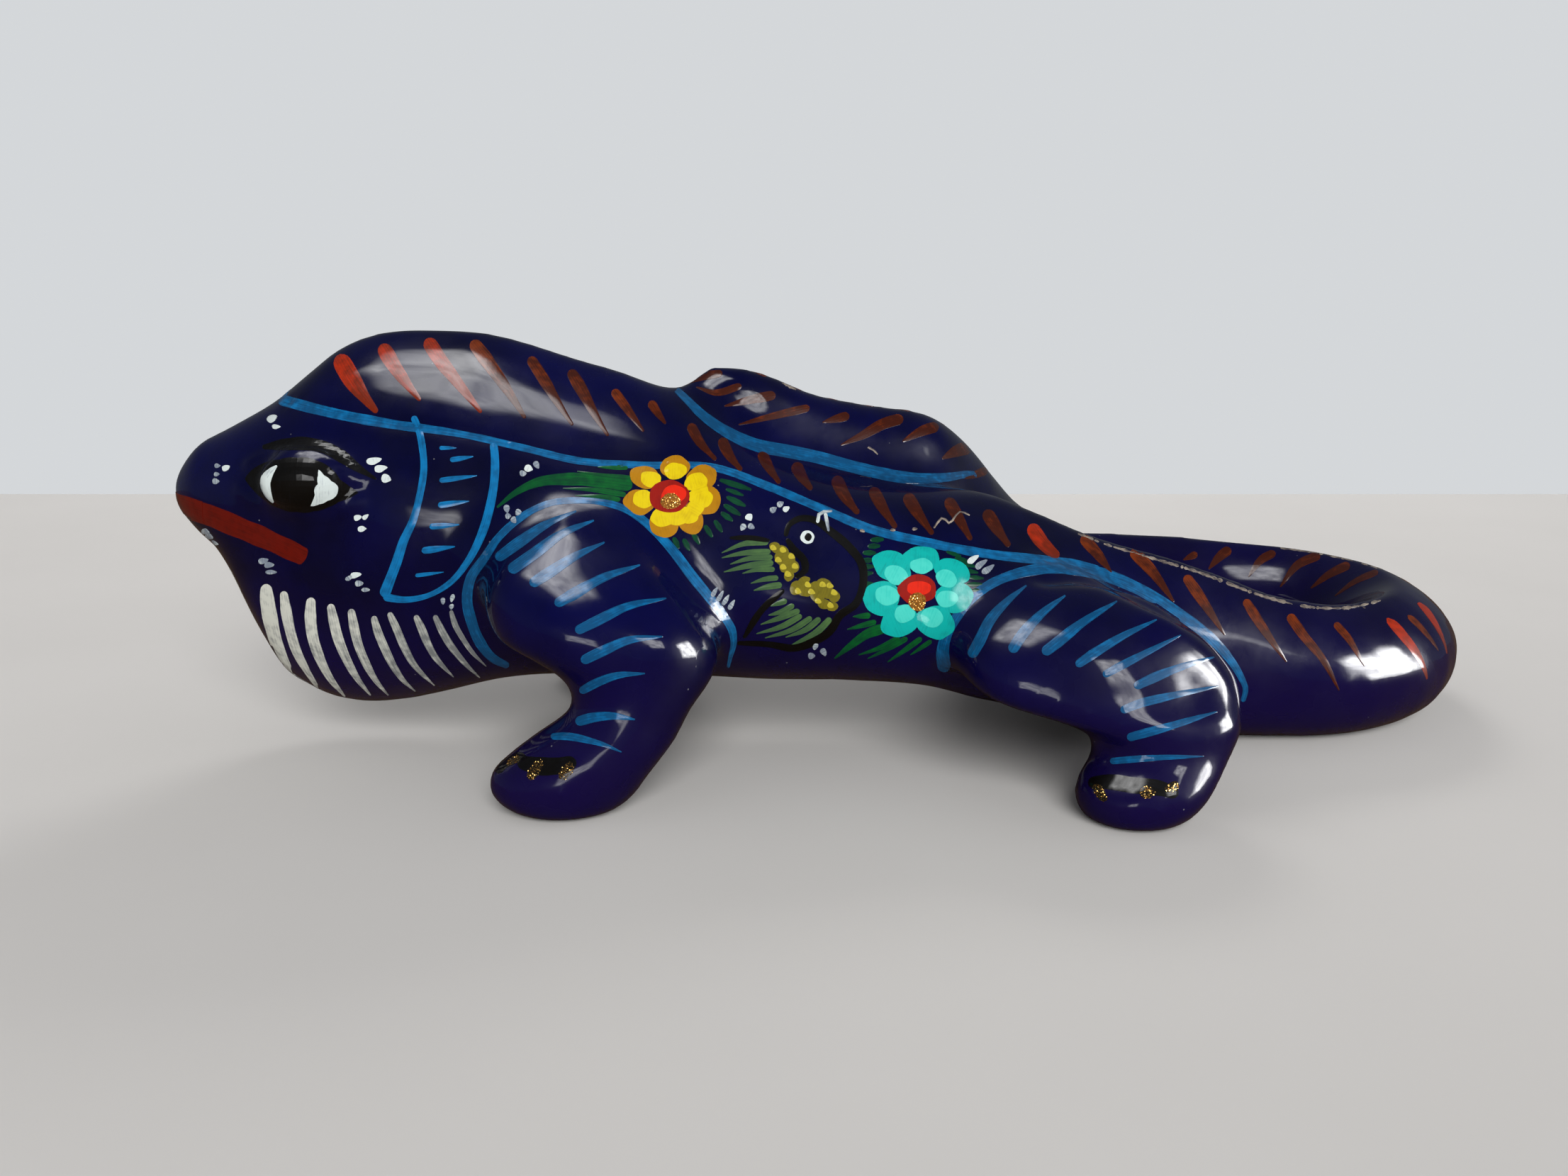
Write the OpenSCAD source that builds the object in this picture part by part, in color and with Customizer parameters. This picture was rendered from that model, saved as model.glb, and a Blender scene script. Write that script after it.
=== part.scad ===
// Clay lizard figurine: a hollow, press-moulded and painted ornament.
// Snout towards -X, tail curled round to the right-hand side (+Y), soles on the plane z = 0.

/* [Head] */
// Distance from the tip of the snout to the top of the crest
head_length = 72; // [64:1:80]
// Height of the tip of the snout above the table
snout_height = 72; // [66:1:78]
// Height of the crest above the table
crest_height = 117; // [110:1:124]
// Height of the lowest point of the dewlap
chin_height = 9.5; // [6:0.5:14]
// Width of the head across the eyes
head_width = 60; // [52:1:68]
// Height of the widest part of the head below the tip of the snout
cheek_drop = 8; // [5:0.5:11]

/* [Trunk] */
// Distance from the top of the crest to the nape
neck_length = 70; // [62:1:80]
// Distance from the nape to the hips
trunk_length = 80; // [70:1:92]
// Distance from the hips to the root of the tail
rump_length = 50; // [42:1:58]
// Height of the back at the nape
nape_height = 101; // [94:1:106]
// Height of the back at the loins
loin_height = 76; // [70:1:82]
// Height of the belly above the table
belly_height = 19; // [15:0.5:23]
// Width of the trunk
trunk_width = 74; // [66:1:82]
// Height of the widest part of the trunk
flank_height = 44; // [40:1:48]
// Thickness of the pressed clay
wall = 6; // [4:0.5:8]
// Thickness of the clay under the back ridge
ridge_wall = 10; // [8:0.5:13]
// Diameter of the firing vent in the belly
vent_d = 6; // [4:0.5:8]
// Distance of the firing vent behind the nape
vent_back = 45; // [38:1:52]

/* [Legs] */
// Distance of the front legs behind the crest
front_leg_back = 53; // [46:1:60]
// Height of the top of the front haunches
front_haunch_height = 74; // [70:1:80]
// Length of the front haunches
front_haunch_length = 56; // [48:1:62]
// Height at which the front haunches are longest
front_thigh_height = 42; // [39:1:45]
// Height of the front ankles
front_ankle_height = 25; // [22:1:28]
// Length of the front paws
front_paw_length = 40; // [36:1:44]
// Distance of the front paws from the middle of the trunk
front_stance = 54; // [48:1:60]
// Distance of the hind legs behind the hips
hind_leg_back = 27; // [22:1:32]
// Height of the top of the hind haunches
hind_haunch_height = 58; // [55:1:64]
// Length of the hind haunches
hind_haunch_length = 74; // [66:1:80]
// Height at which the hind haunches are longest
hind_thigh_height = 33; // [30:1:35]
// Height of the hind ankles
hind_ankle_height = 18; // [16:1:21]
// Length of the hind paws
hind_paw_length = 33; // [28:1:38]
// Distance of the hind paws from the middle of the trunk
hind_stance = 60; // [54:1:65]
// How far the right hind leg is set back to make room for the tail
right_setback = 14; // [8:1:20]
// How far the right hind haunch is pressed down under the tail
right_drop = 5; // [2:1:6]
// How far the haunches stand out from the trunk
haunch_bulge = 26; // [22:1:30]
// Thickness of the ankles
ankle_d = 30; // [26:1:34]
// Height at which the paws are longest
paw_height = 9; // [7:0.5:11]
// Depth of the paws from front to back
paw_depth = 28; // [24:1:32]

/* [Tail] */
// Height of the ridge at the root of the tail
root_height = 56; // [50:1:60]
// Width of the root of the tail
root_width = 48; // [42:1:54]
// Height of the widest part of the root of the tail
root_middle = 26; // [23:1:29]
// Distance from the root of the tail to the start of its loop
tail_run = 50; // [42:1:58]
// Radius of the loop along the middle of the tail
loop_r = 49; // [45:1:54]
// Thickness of the tail in the loop
loop_d = 35; // [31:1:39]
// Height of the ridge along the loop
loop_ridge = 38; // [34:1:42]
// How far the ridge rises again behind the right hind leg
far_rise = 2; // [0:1:6]
// Thickness of the tail where it comes to lie on the back
lap_d = 31; // [27:1:35]
// Thickness of the tail just before its tip
tip_d = 12; // [8:1:16]

/* [Eyes] */
// Distance of the eyes behind the tip of the snout
eye_back = 48; // [42:1:54]
// Height of the eyes above the tip of the snout
eye_rise = 7; // [4:1:10]
// Length of each eye
eye_length = 25; // [20:1:30]
// Height of each eye
eye_height = 17; // [13:1:20]
// How far each eye stands out from the head
eye_bulge = 4.5; // [3:0.5:6]

/* [Hidden] */
clay = "midnightblue";
eye_black = "black";

// Places along the body
crest_x = -100;
snout_x = crest_x - head_length;
nape_x = crest_x + neck_length;
hip_x = nape_x + trunk_length;
root_x = hip_x + rump_length;
eye_x = snout_x + eye_back;
eye_z = snout_height + eye_rise;
front_leg_x = crest_x + front_leg_back;
hind_leg_x = hip_x + hind_leg_back;

// Steps of the surfaces
half_steps = 16;
body_steps = 46;
leg_steps = 24;
tail_steps = 3;
eye_steps = 8;
cavity_half_steps = 10;
cavity_body_steps = 24;

// Lift of the loop's middle line above half its thickness
loop_lift = 0.5;
// Sink of the tail's underside below the table, which is cut flat
sole_cut = 0.8;
// Reach of a cut past the face that it opens
past = 1;
// Depth of the middle of an eye inside the head
eye_sink = 2;

// Cubic curve through hand-picked rows of [place, value]
function row_at(x, rows, i = 0) = i >= len(rows) - 2 || x < rows[i + 1][0] ? i : row_at(x, rows, i + 1);
function slope(rows, i) =
    let (a = max(i - 1, 0), b = min(i + 1, len(rows) - 1))
    (rows[b][1] - rows[a][1]) / (rows[b][0] - rows[a][0]);
function smooth(x, rows) =
    let (
        i = row_at(x, rows),
        h = rows[i + 1][0] - rows[i][0],
        t = (x - rows[i][0]) / h
    )
    (2 * t ^ 3 - 3 * t ^ 2 + 1) * rows[i][1] + (t ^ 3 - 2 * t ^ 2 + t) * h * slope(rows, i)
    + (3 * t ^ 2 - 2 * t ^ 3) * rows[i + 1][1] + (t ^ 3 - t ^ 2) * h * slope(rows, i + 1);

// Half of a cross section as [out, up] from its keel to its ridge, about its widest point.
// Powers above 1 draw the keel or the ridge to an edge.
function half_section(top, under, half, ridge, keel, steps) = [
    for (i = [0:steps])
        let (a = 180 * i / steps)
        a < 90 ? [half * sin(a) ^ keel, -under * cos(a)] : [half * sin(a) ^ ridge, -top * cos(a)]
];

// Closed skin over rings of equal count, with a flat or a pointed end
module skin(rings, start_tip = undef, end_tip = undef, flip = false) {
    n = len(rings[0]);
    last = (len(rings) - 1) * n;
    start_i = last + n;
    end_i = start_i + (is_undef(start_tip) ? 0 : 1);
    points = concat(
        [for (ring = rings) each ring],
        is_undef(start_tip) ? [] : [start_tip],
        is_undef(end_tip) ? [] : [end_tip]
    );
    sides = [
        for (i = [0:len(rings) - 2], j = [0:n - 1])
            let (a = i * n + j, b = i * n + (j + 1) % n)
            each [[a, b + n, b], [a, a + n, b + n]]
    ];
    start = is_undef(start_tip) ? [[for (j = [0:n - 1]) j]] : [for (j = [0:n - 1]) [start_i, j, (j + 1) % n]];
    end = is_undef(end_tip)
        ? [[for (j = [n - 1:-1:0]) last + j]]
        : [for (j = [0:n - 1]) [end_i, last + (j + 1) % n, last + j]];
    faces = concat(sides, start, end);
    polyhedron(points, flip ? [for (f = faces) [for (i = [len(f) - 1:-1:0]) f[i]]] : faces, convexity = 6);
}

head_half = head_width / 2;
trunk_half = trunk_width / 2;
root_half = root_width / 2;
cheek = snout_height - cheek_drop;

// Places along the body as shares of its stretches
function head_at(share) = snout_x + head_length * share;
function neck_at(share) = crest_x + neck_length * share;
function trunk_at(share) = nape_x + trunk_length * share;
function rump_at(share) = hip_x + rump_length * share;
function run_at(share) = root_x + tail_run * share;

// Heights between those of two named places
function brow(share) = snout_height + (crest_height - snout_height) * share;
function throat(share) = snout_height + (chin_height - snout_height) * share;
function nape(share) = crest_height + (nape_height - crest_height) * share;
function back(share) = nape_height + (loin_height - nape_height) * share;
function rump(share) = loin_height + (root_height - loin_height) * share;
function shoulder(share) = cheek + (flank_height - cheek) * share;
function hip(share) = flank_height + (root_middle - flank_height) * share;
function hip_half(share) = trunk_half + (root_half - trunk_half) * share;

// Cross sections of the body: place along it, then height of the back, height of the
// underside, height of the widest point, half width, edge of the back, edge of the underside
body_rows = [
    [head_at(0.03), [brow(0.14), throat(0.1), snout_height, head_half * 0.2, 1, 1]],
    [head_at(0.11), [brow(0.3), throat(0.2), snout_height - cheek_drop * 0.1, head_half * 0.4, 1, 1]],
    [head_at(0.22), [brow(0.39), throat(0.32), snout_height - cheek_drop * 0.4, head_half * 0.57, 1, 1]],
    [head_at(0.305), [brow(0.46), throat(0.615), snout_height - cheek_drop * 0.5, head_half * 0.68, 1, 1.1]],
    [head_at(0.36), [brow(0.505), throat(0.825), snout_height - cheek_drop * 0.6, head_half * 0.75, 1, 1.2]],
    [head_at(0.445), [brow(0.58), throat(0.91), snout_height - cheek_drop * 0.75, head_half * 0.83, 1, 1.25]],
    [head_at(0.555), [brow(0.72), throat(0.975), snout_height - cheek_drop * 0.9, head_half * 0.93, 1.1, 1.25]],
    [head_at(0.695), [brow(0.89), chin_height, cheek, head_half, 1.2, 1.25]],
    [head_at(0.85), [brow(0.98), throat(0.985), shoulder(0.1), (3 * head_half + trunk_half) / 4, 1.25, 1.2]],
    [crest_x, [crest_height, throat(0.945), shoulder(0.2), (head_half + trunk_half) / 2, 1.3, 1.1]],
    [neck_at(0.29), [nape(0.09), belly_height * 0.95, shoulder(0.35), trunk_half * 0.93, 1.25, 1]],
    [neck_at(0.64), [nape(0.54), belly_height * 1.05, shoulder(0.5), trunk_half * 0.95, 1.25, 0.95]],
    [nape_x, [nape_height, belly_height * 1.05, shoulder(0.75), trunk_half * 0.95, 1.25, 0.9]],
    [trunk_at(0.15), [back(0.4), belly_height * 1.03, shoulder(0.88), trunk_half * 0.96, 1.15, 0.9]],
    [trunk_at(0.31), [back(0.72), belly_height, shoulder(0.95), trunk_half * 0.97, 1.05, 0.9]],
    [trunk_at(0.56), [loin_height, belly_height, flank_height, trunk_half, 1, 0.9]],
    [trunk_at(0.875), [rump(0.125), belly_height * 0.92, hip(0.17), trunk_half, 1.1, 0.9]],
    [rump_at(0.1), [rump(0.15), belly_height * 0.68, hip(0.3), hip_half(0.1), 1.3, 0.95]],
    [rump_at(0.36), [rump(0.42), belly_height * 0.5, hip(0.47), hip_half(0.4), 1.5, 1]],
    [rump_at(0.6), [rump(0.67), belly_height * 0.25, hip(0.67), hip_half(0.62), 1.6, 1]],
    [rump_at(0.8), [rump(0.86), belly_height * 0.08, hip(0.83), hip_half(0.85), 1.6, 1]],
    [root_x, [root_height, 0, root_middle, root_half, 1.6, 1]]
];

function body_half(x, inset, top_inset, steps) =
    let (s = smooth(x, body_rows))
    [for (p = half_section(s[0] - s[2] - top_inset, s[2] - s[1] - inset, s[3] - inset, s[4], s[5], steps))
        [x, p[0], s[2] + p[1]]];
function with_mirrored(half) =
    concat(half, [for (i = [len(half) - 2:-1:1]) [half[i][0], -half[i][1], half[i][2]]]);

// Stations are closer together at the snout
body_start = body_rows[0][0];
body_x = [for (i = [0:body_steps]) body_start + (root_x - body_start) * (i / body_steps) ^ 1.15];
body_halves = [for (x = body_x) body_half(x, 0, 0, half_steps)];
snout_tip = [snout_x, 0, snout_height];

module body_solid() {
    skin([for (ring = body_halves) with_mirrored(ring)], start_tip = snout_tip);
}

module body_cavity() {
    first = snout_x + 3 * wall;
    reach = root_x + past - first;
    xs = [for (i = [0:cavity_body_steps]) first + reach * i / cavity_body_steps];
    rings = [for (x = xs) with_mirrored(body_half(x, wall, ridge_wall, cavity_half_steps))];
    skin(rings, start_tip = [first - wall / 2, 0, (snout_height + cheek) / 2]);
}

// Pieces are drawn on the right side, +1, and mirrored for the left side, -1
module on_side(side) {
    mirror([0, side < 0 ? 1 : 0, 0])
        children();
}

// One pressed half of the hollow body, with the firing vent in the left one
module body_shell(side) {
    color(clay)
        on_side(side)
            difference() {
                skin(body_halves, start_tip = snout_tip);
                body_cavity();
                if (side < 0)
                    translate([nape_x + vent_back, trunk_half / 3, 0])
                        cylinder(d = vent_d, h = belly_height + 3 * wall, $fn = 48);
            }
}

// Level sections of a leg from its sole up: height, then place along the body,
// distance from the middle plane, half length, half depth
ankle_r = ankle_d / 2;
paw_r = paw_depth / 2;
front_paw = front_paw_length / 2;
front_haunch = front_haunch_length / 2;
function front_out(share) = trunk_half + (front_stance - trunk_half) * share;
function front_up(share) = front_thigh_height + (front_haunch_height - front_thigh_height) * share;
front_shin_height = (front_ankle_height + front_thigh_height) / 2;
front_rows = [
    [0, [-front_paw * 0.42, front_stance, front_paw * 0.6, paw_r * 0.68]],
    [paw_height / 3, [-front_paw * 0.42, front_stance, front_paw * 0.85, paw_r * 0.9]],
    [paw_height, [-front_paw * 0.35, front_stance, front_paw, paw_r]],
    [front_ankle_height * 0.72, [ankle_r * 0.13, front_out(0.88), ankle_r * 1.2, ankle_r * 0.93]],
    [front_ankle_height, [ankle_r * 0.57, front_out(0.76), ankle_r, ankle_r * 0.9]],
    [front_shin_height, [ankle_r * 0.67, front_out(0.53), front_haunch * 0.71, ankle_r * 1.07]],
    [front_thigh_height, [front_haunch * 0.1, front_out(0.35), front_haunch, haunch_bulge * 0.77]],
    [front_up(0.25), [-front_haunch * 0.1, front_out(0.23), front_haunch * 0.94, haunch_bulge * 0.77]],
    [front_up(0.53), [-front_haunch * 0.3, trunk_half, front_haunch * 0.85, haunch_bulge * 0.65]],
    [front_up(0.78), [-front_haunch * 0.32, trunk_half * 0.84, front_haunch * 0.59, haunch_bulge * 0.46]],
    [front_up(0.94), [-front_haunch * 0.3, trunk_half * 0.78, front_haunch * 0.29, haunch_bulge * 0.27]]
];
front_top = [-front_haunch * 0.28, trunk_half * 0.76, front_haunch_height];
hind_paw = hind_paw_length / 2;
hind_haunch = hind_haunch_length / 2;
function hind_out(share) = trunk_half + (hind_stance - trunk_half) * share;
function hind_shin(share) = hind_ankle_height + (hind_thigh_height - hind_ankle_height) * share;
function hind_up(share, top) = hind_thigh_height + (top - hind_thigh_height) * share;
function hind_rows(top) = [
    [0, [hind_paw * 0.6, hind_stance, hind_paw * 0.67, paw_r * 0.68]],
    [paw_height / 3, [hind_paw * 0.63, hind_stance, hind_paw * 0.88, paw_r * 0.9]],
    [paw_height, [hind_paw * 0.75, hind_stance, hind_paw, paw_r]],
    [hind_ankle_height, [ankle_r * 1.2, hind_out(0.74), ankle_r * 1.13, ankle_r * 0.93]],
    [hind_shin(0.4), [ankle_r * 0.87, hind_out(0.61), hind_haunch * 0.65, ankle_r * 1.13]],
    [hind_shin(0.67), [ankle_r * 0.33, hind_out(0.43), hind_haunch * 0.89, ankle_r * 1.27]],
    [hind_thigh_height, [0, hind_out(0.3), hind_haunch, haunch_bulge * 0.77]],
    [hind_up(0.36, top), [-hind_haunch * 0.08, hind_out(0.17), hind_haunch * 0.86, haunch_bulge * 0.73]],
    [hind_up(0.68, top), [-hind_haunch * 0.14, trunk_half * 0.97, hind_haunch * 0.62, haunch_bulge * 0.62]],
    [hind_up(0.86, top), [-hind_haunch * 0.19, trunk_half * 0.84, hind_haunch * 0.36, haunch_bulge * 0.42]],
    [hind_up(0.96, top), [-hind_haunch * 0.2, trunk_half * 0.76, hind_haunch * 0.19, haunch_bulge * 0.23]]
];
function hind_top(top) = [-hind_haunch * 0.22, trunk_half * 0.73, top];

function leg_ring(z, rows, x0) =
    let (s = smooth(z, rows))
    [for (j = [0:leg_steps - 1])
        let (a = 360 * j / leg_steps)
        [x0 + s[0] + s[2] * cos(a), s[1] + s[3] * sin(a), z]];
function leg_heights(rows) = [
    for (i = [0:len(rows) - 2], part = [0, 0.5]) rows[i][0] + (rows[i + 1][0] - rows[i][0]) * part,
    rows[len(rows) - 1][0]
];

module leg_solid(rows, top, x0) {
    skin([for (z = leg_heights(rows)) leg_ring(z, rows, x0)], end_tip = top + [x0, 0, 0]);
}

module hind_leg_solid(side) {
    haunch_top = hind_haunch_height - (side > 0 ? right_drop : 0);
    setback = side > 0 ? right_setback : 0;
    leg_solid(hind_rows(haunch_top), hind_top(haunch_top), hind_leg_x + setback);
}

// A leg luted to the outside of the body
module front_leg(side) {
    color(clay)
        on_side(side)
            difference() {
                leg_solid(front_rows, front_top, front_leg_x);
                body_solid();
            }
}

module hind_leg(side) {
    color(clay)
        on_side(side)
            difference() {
                hind_leg_solid(side);
                body_solid();
            }
}

// The tail's course: its middle line, then its ridge above it, its keel below it,
// its half width, the edge of its ridge and how far the ridge leans into the loop
loop_x = root_x + tail_run;
loop_z = loop_d / 2 + loop_lift;
loop_y = 2 * loop_r;
loop_half = loop_d / 2;
loop_up = loop_ridge - loop_z;
lap_half = lap_d / 2;
tip_r = tip_d / 2;
root_row = [root_x, 0, root_middle, root_height - root_middle, root_middle, root_half, 1.6, 0];
function loop_row(a) =
    [loop_x + loop_r * cos(a), loop_r + loop_r * sin(a), loop_z, loop_up, loop_z + sole_cut, loop_half, 1.5, 1];
function run_row(part) = root_row * (1 - part) + loop_row(-90) * part;
far_up = loop_up + far_rise / 2;
function climb(share) = loop_z + (loin_height - loop_z) * share;
function lap_y(share) = trunk_half + lap_d * share;
course = [
    root_row,
    run_row(0.46),
    run_row(0.8),
    for (a = [-75:30:75]) loop_row(a),
    [run_at(0.88), loop_y, climb(0.01), far_up, loop_z + sole_cut, loop_half, 1.5, 1],
    [run_at(0.4), loop_y - loop_half * 0.06, climb(0.035), far_up, loop_z + sole_cut, loop_half, 1.5, 1],
    [rump_at(0.94), loop_y - loop_half * 0.34, climb(0.11), loop_half * 1.09, loop_half * 1.09, loop_half, 1.5, 1],
    [rump_at(0.54), loop_y - loop_half, climb(0.31), loop_half * 1.11, loop_half * 1.06, loop_half * 0.94, 1.5, 0],
    [rump_at(0.21), lap_y(0.8), climb(0.585), lap_half * 1.29, lap_half * 1.1, lap_half * 1.03, 1.5, 0],
    [trunk_at(0.99), lap_y(0.32), climb(0.82), lap_half * 1.23, lap_half * 1.16, lap_half * 1.03, 1.4, 0],
    [trunk_at(0.85), lap_y(-0.1), climb(0.965), lap_half * 1.15, lap_half * 1.16, lap_half, 1.3, 0],
    [trunk_at(0.65), trunk_half * 0.73, back(0.82), lap_half * 0.9, lap_half * 1.1, lap_half * 0.87, 1.2, 0],
    [trunk_at(0.44), trunk_half * 0.54, back(0.56), lap_half * 0.74, lap_half * 0.97, lap_half * 0.74, 1.2, 0],
    [trunk_at(0.25), trunk_half * 0.39, back(0.2), tip_r * 1.5, tip_r * 2.4, tip_r * 1.5, 1.1, 0],
    [trunk_at(0.075), trunk_half * 0.3, back(-0.02), tip_r, tip_r * 1.8, tip_r, 1, 0]
];
course_rows = [for (i = [0:len(course) - 1]) [i, course[i]]];
shell_end = 12;
tip_end = len(course) - 1;

function middle(u) = let (s = smooth(u, course_rows)) [s[0], s[1], s[2]];
function along(u) =
    u == 0 ? [1, 0, 0] : let (d = middle(min(u + 0.05, tip_end)) - middle(u - 0.05)) d / norm(d);
function tail_half(u, side, inset, top_inset, steps) =
    let (
        s = smooth(u, course_rows),
        t = along(u),
        right = cross(t, [0, 0, 1]),
        out = right / norm(right),
        up = cross(out, t)
    )
    [for (p = half_section(s[3] - top_inset, s[4] - inset, s[5] - inset, s[6], 1, steps))
        let (lean = s[7] * max(p[1] / s[3], 0) ^ 2)
        middle(u) + (side * p[0] - lean) * out + p[1] * up];
function tail_ring(u, inset, top_inset, steps) =
    let (a = tail_half(u, 1, inset, top_inset, steps), b = tail_half(u, -1, inset, top_inset, steps))
    concat(a, [for (i = [steps - 1:-1:1]) b[i]]);

shell_us = [for (i = [0:shell_end * tail_steps]) i / tail_steps];
tip_us = [for (i = [shell_end * tail_steps:tip_end * tail_steps]) i / tail_steps];

// Everything under the table, cut off the underside of the loop
module below_table() {
    depth = 10;
    translate([snout_x, -loop_y, -depth])
        cube([2 * (tail_reach - snout_x), 3 * loop_y, depth]);
}

// One pressed half of the hollow loop: side 1 is the outside of the bend
module tail_shell(side) {
    over = 0.05;
    inner_us = [for (u = shell_us) if (u > 0 && u < shell_end) u];
    cavity_us = concat([-over], inner_us, [shell_end + over]);
    color(clay)
        difference() {
            skin([for (u = shell_us) tail_half(u, side, 0, 0, half_steps)], flip = side > 0);
            skin([for (u = cavity_us) tail_ring(u, wall, ridge_wall, cavity_half_steps)], flip = true);
            below_table();
        }
}

// The solid end of the tail, pressed down on the back and on the right thigh
module tail_tip() {
    rings = [for (u = tip_us) tail_ring(u, 0, 0, half_steps)];
    color(clay)
        difference() {
            skin(rings, end_tip = middle(tip_end) + along(tip_end) * tip_r, flip = true);
            body_solid();
            hind_leg_solid(1);
        }
}

// An eye: a lens of clay pressed on the side of the head
module eye(side) {
    seat = smooth(eye_x, body_rows)[3] - eye_sink;
    seat_point = [eye_x, seat, eye_z];
    rings = [
        for (i = [1:eye_steps - 1])
            let (a = 180 * i / eye_steps - 90)
            [for (j = [0:leg_steps - 1])
                let (b = 360 * j / leg_steps)
                seat_point + [
                    eye_length / 2 * cos(a) * cos(b),
                    (eye_bulge + eye_sink) * cos(a) * sin(b),
                    eye_height / 2 * sin(a)
                ]]
    ];
    pole = [0, 0, eye_height / 2];
    color(eye_black)
        on_side(side)
            difference() {
                skin(rings, start_tip = seat_point - pole, end_tip = seat_point + pole);
                body_solid();
            }
}

// The origin is under the middle of the figure
left_reach = max([
    for (rows = [front_rows, hind_rows(hind_haunch_height)], z = leg_heights(rows))
        each [for (p = leg_ring(z, rows, 0)) p[1]]
]);
tail_points = [for (u = shell_us) each tail_half(u, 1, 0, 0, half_steps)];
right_reach = max([for (p = tail_points) p[1]]);
tail_reach = max([for (p = tail_points) p[0]]);
figure_middle = [(snout_x + tail_reach) / 2, (right_reach - left_reach) / 2, 0];

module placed() {
    translate(-figure_middle)
        children();
}

placed() body_shell(-1);  // left_body_shell
placed() body_shell(1);  // right_body_shell
placed() front_leg(-1);  // left_front_leg
placed() front_leg(1);  // right_front_leg
placed() hind_leg(-1);  // left_hind_leg
placed() hind_leg(1);  // right_hind_leg
placed() tail_shell(1);  // tail_outer_shell
placed() tail_shell(-1);  // tail_inner_shell
placed() tail_tip();
placed() eye(-1);  // left_eye
placed() eye(1);  // right_eye
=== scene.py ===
import math

import bmesh
import bpy
import numpy as np
from mathutils import Matrix, Vector, noise
from mathutils.bvhtree import BVHTree


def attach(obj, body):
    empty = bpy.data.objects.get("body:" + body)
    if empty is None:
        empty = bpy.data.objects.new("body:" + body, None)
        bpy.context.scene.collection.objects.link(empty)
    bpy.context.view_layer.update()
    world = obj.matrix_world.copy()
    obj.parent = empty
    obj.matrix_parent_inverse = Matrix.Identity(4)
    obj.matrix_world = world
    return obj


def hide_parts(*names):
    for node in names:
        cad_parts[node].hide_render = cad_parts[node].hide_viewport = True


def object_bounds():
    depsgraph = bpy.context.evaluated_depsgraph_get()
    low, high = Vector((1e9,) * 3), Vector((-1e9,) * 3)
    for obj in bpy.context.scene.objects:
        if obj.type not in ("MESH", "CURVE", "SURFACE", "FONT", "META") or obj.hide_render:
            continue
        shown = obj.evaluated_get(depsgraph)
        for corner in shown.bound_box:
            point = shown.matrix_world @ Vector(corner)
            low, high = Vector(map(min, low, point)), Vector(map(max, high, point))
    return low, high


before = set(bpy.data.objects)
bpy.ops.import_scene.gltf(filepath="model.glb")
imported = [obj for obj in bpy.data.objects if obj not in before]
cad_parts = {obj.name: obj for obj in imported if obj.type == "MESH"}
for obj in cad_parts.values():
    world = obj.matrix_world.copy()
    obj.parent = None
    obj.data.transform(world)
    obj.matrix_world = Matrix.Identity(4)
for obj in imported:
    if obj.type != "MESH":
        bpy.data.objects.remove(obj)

cad_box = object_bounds()
scene = bpy.context.scene


# Viewpoint
# A hand-held camera just above the table's edge, in front of the figure's left side.
# The paint marks are laid through it, so it comes before the pieces.
image_width, image_height = 2212, 1659
eye_point = Vector((-0.02209, -0.35178, 0.125))
eye_pitch = math.radians(13.8)
ahead = Vector((0, math.cos(eye_pitch), -math.sin(eye_pitch)))
below = Vector((0, -math.sin(eye_pitch), -math.cos(eye_pitch)))


def put_in_scene(name, data):
    """New object in the scene, at the origin."""
    piece = bpy.data.objects.new(name, data)
    scene.collection.objects.link(piece)
    return piece


def sight_line(u, v):
    """Direction from the viewpoint through a pixel of the photograph."""
    right = (u - image_width / 2) / focal_px
    down = (v - image_height / 2) / focal_px
    return (ahead + below * down + Vector((1, 0, 0)) * right).normalized()


camera = bpy.data.cameras.new("viewpoint")
camera.sensor_width = 36.0
camera.lens = 27.0
focal_px = camera.lens / camera.sensor_width * image_width
viewpoint = put_in_scene("viewpoint", camera)
viewpoint.location = eye_point
viewpoint.rotation_euler = (math.pi / 2 - eye_pitch, 0, 0)
scene.camera = viewpoint


# Clay figure
# Pressed halves, legs and tail of soft clay, stuck together with slip and rubbed smooth with wet
# fingers before firing. A low-fired, hollow earthenware body with a vent hole under the belly,
# painted dark blue all over and varnished.
clay_nodes = [
    "left_body_shell", "right_body_shell", "left_front_leg", "right_front_leg",
    "left_hind_leg", "right_hind_leg", "tail_outer_shell", "tail_inner_shell", "tail_tip",
]
eye_nodes = ["left_eye", "right_eye"]
middle_y = -0.020776
vent_place = Vector((-0.0071, -0.0331, 0.0))
vent_radius = 0.003
plug_low, plug_high, plug_sides = 0.0225, 0.0295, 24
rod_low, rod_high, rod_sides = 0.008, 0.0275, 32
grain = 0.0015
slip_fill = 0.0025
leg_slip_place = (0.0765, 0.0495, 0.0175)
leg_slip_size = (0.0080, 0.0062, 0.0090)
rub_passes, melt_passes = 90, 160
hand_waver, waver_scale = 0.00011, 42


def plain_mesh(piece):
    """Mesh of a piece with its modifiers worked in."""
    evaluated = piece.evaluated_get(bpy.context.evaluated_depsgraph_get())
    return bpy.data.meshes.new_from_object(evaluated)


def per_vertex(mesh, key):
    """Places or normals of a mesh's vertices, one row each."""
    rows = np.empty(len(mesh.vertices) * 3)
    mesh.vertices.foreach_get(key, rows)
    return rows.reshape(-1, 3)


def reshape(mesh, places):
    """Gives a mesh new vertex places."""
    mesh.vertices.foreach_set("co", places.ravel())
    mesh.update()


def swell(mesh, amount):
    """Moves each vertex of a mesh outward."""
    reshape(mesh, per_vertex(mesh, "co") + per_vertex(mesh, "normal") * amount)


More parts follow.
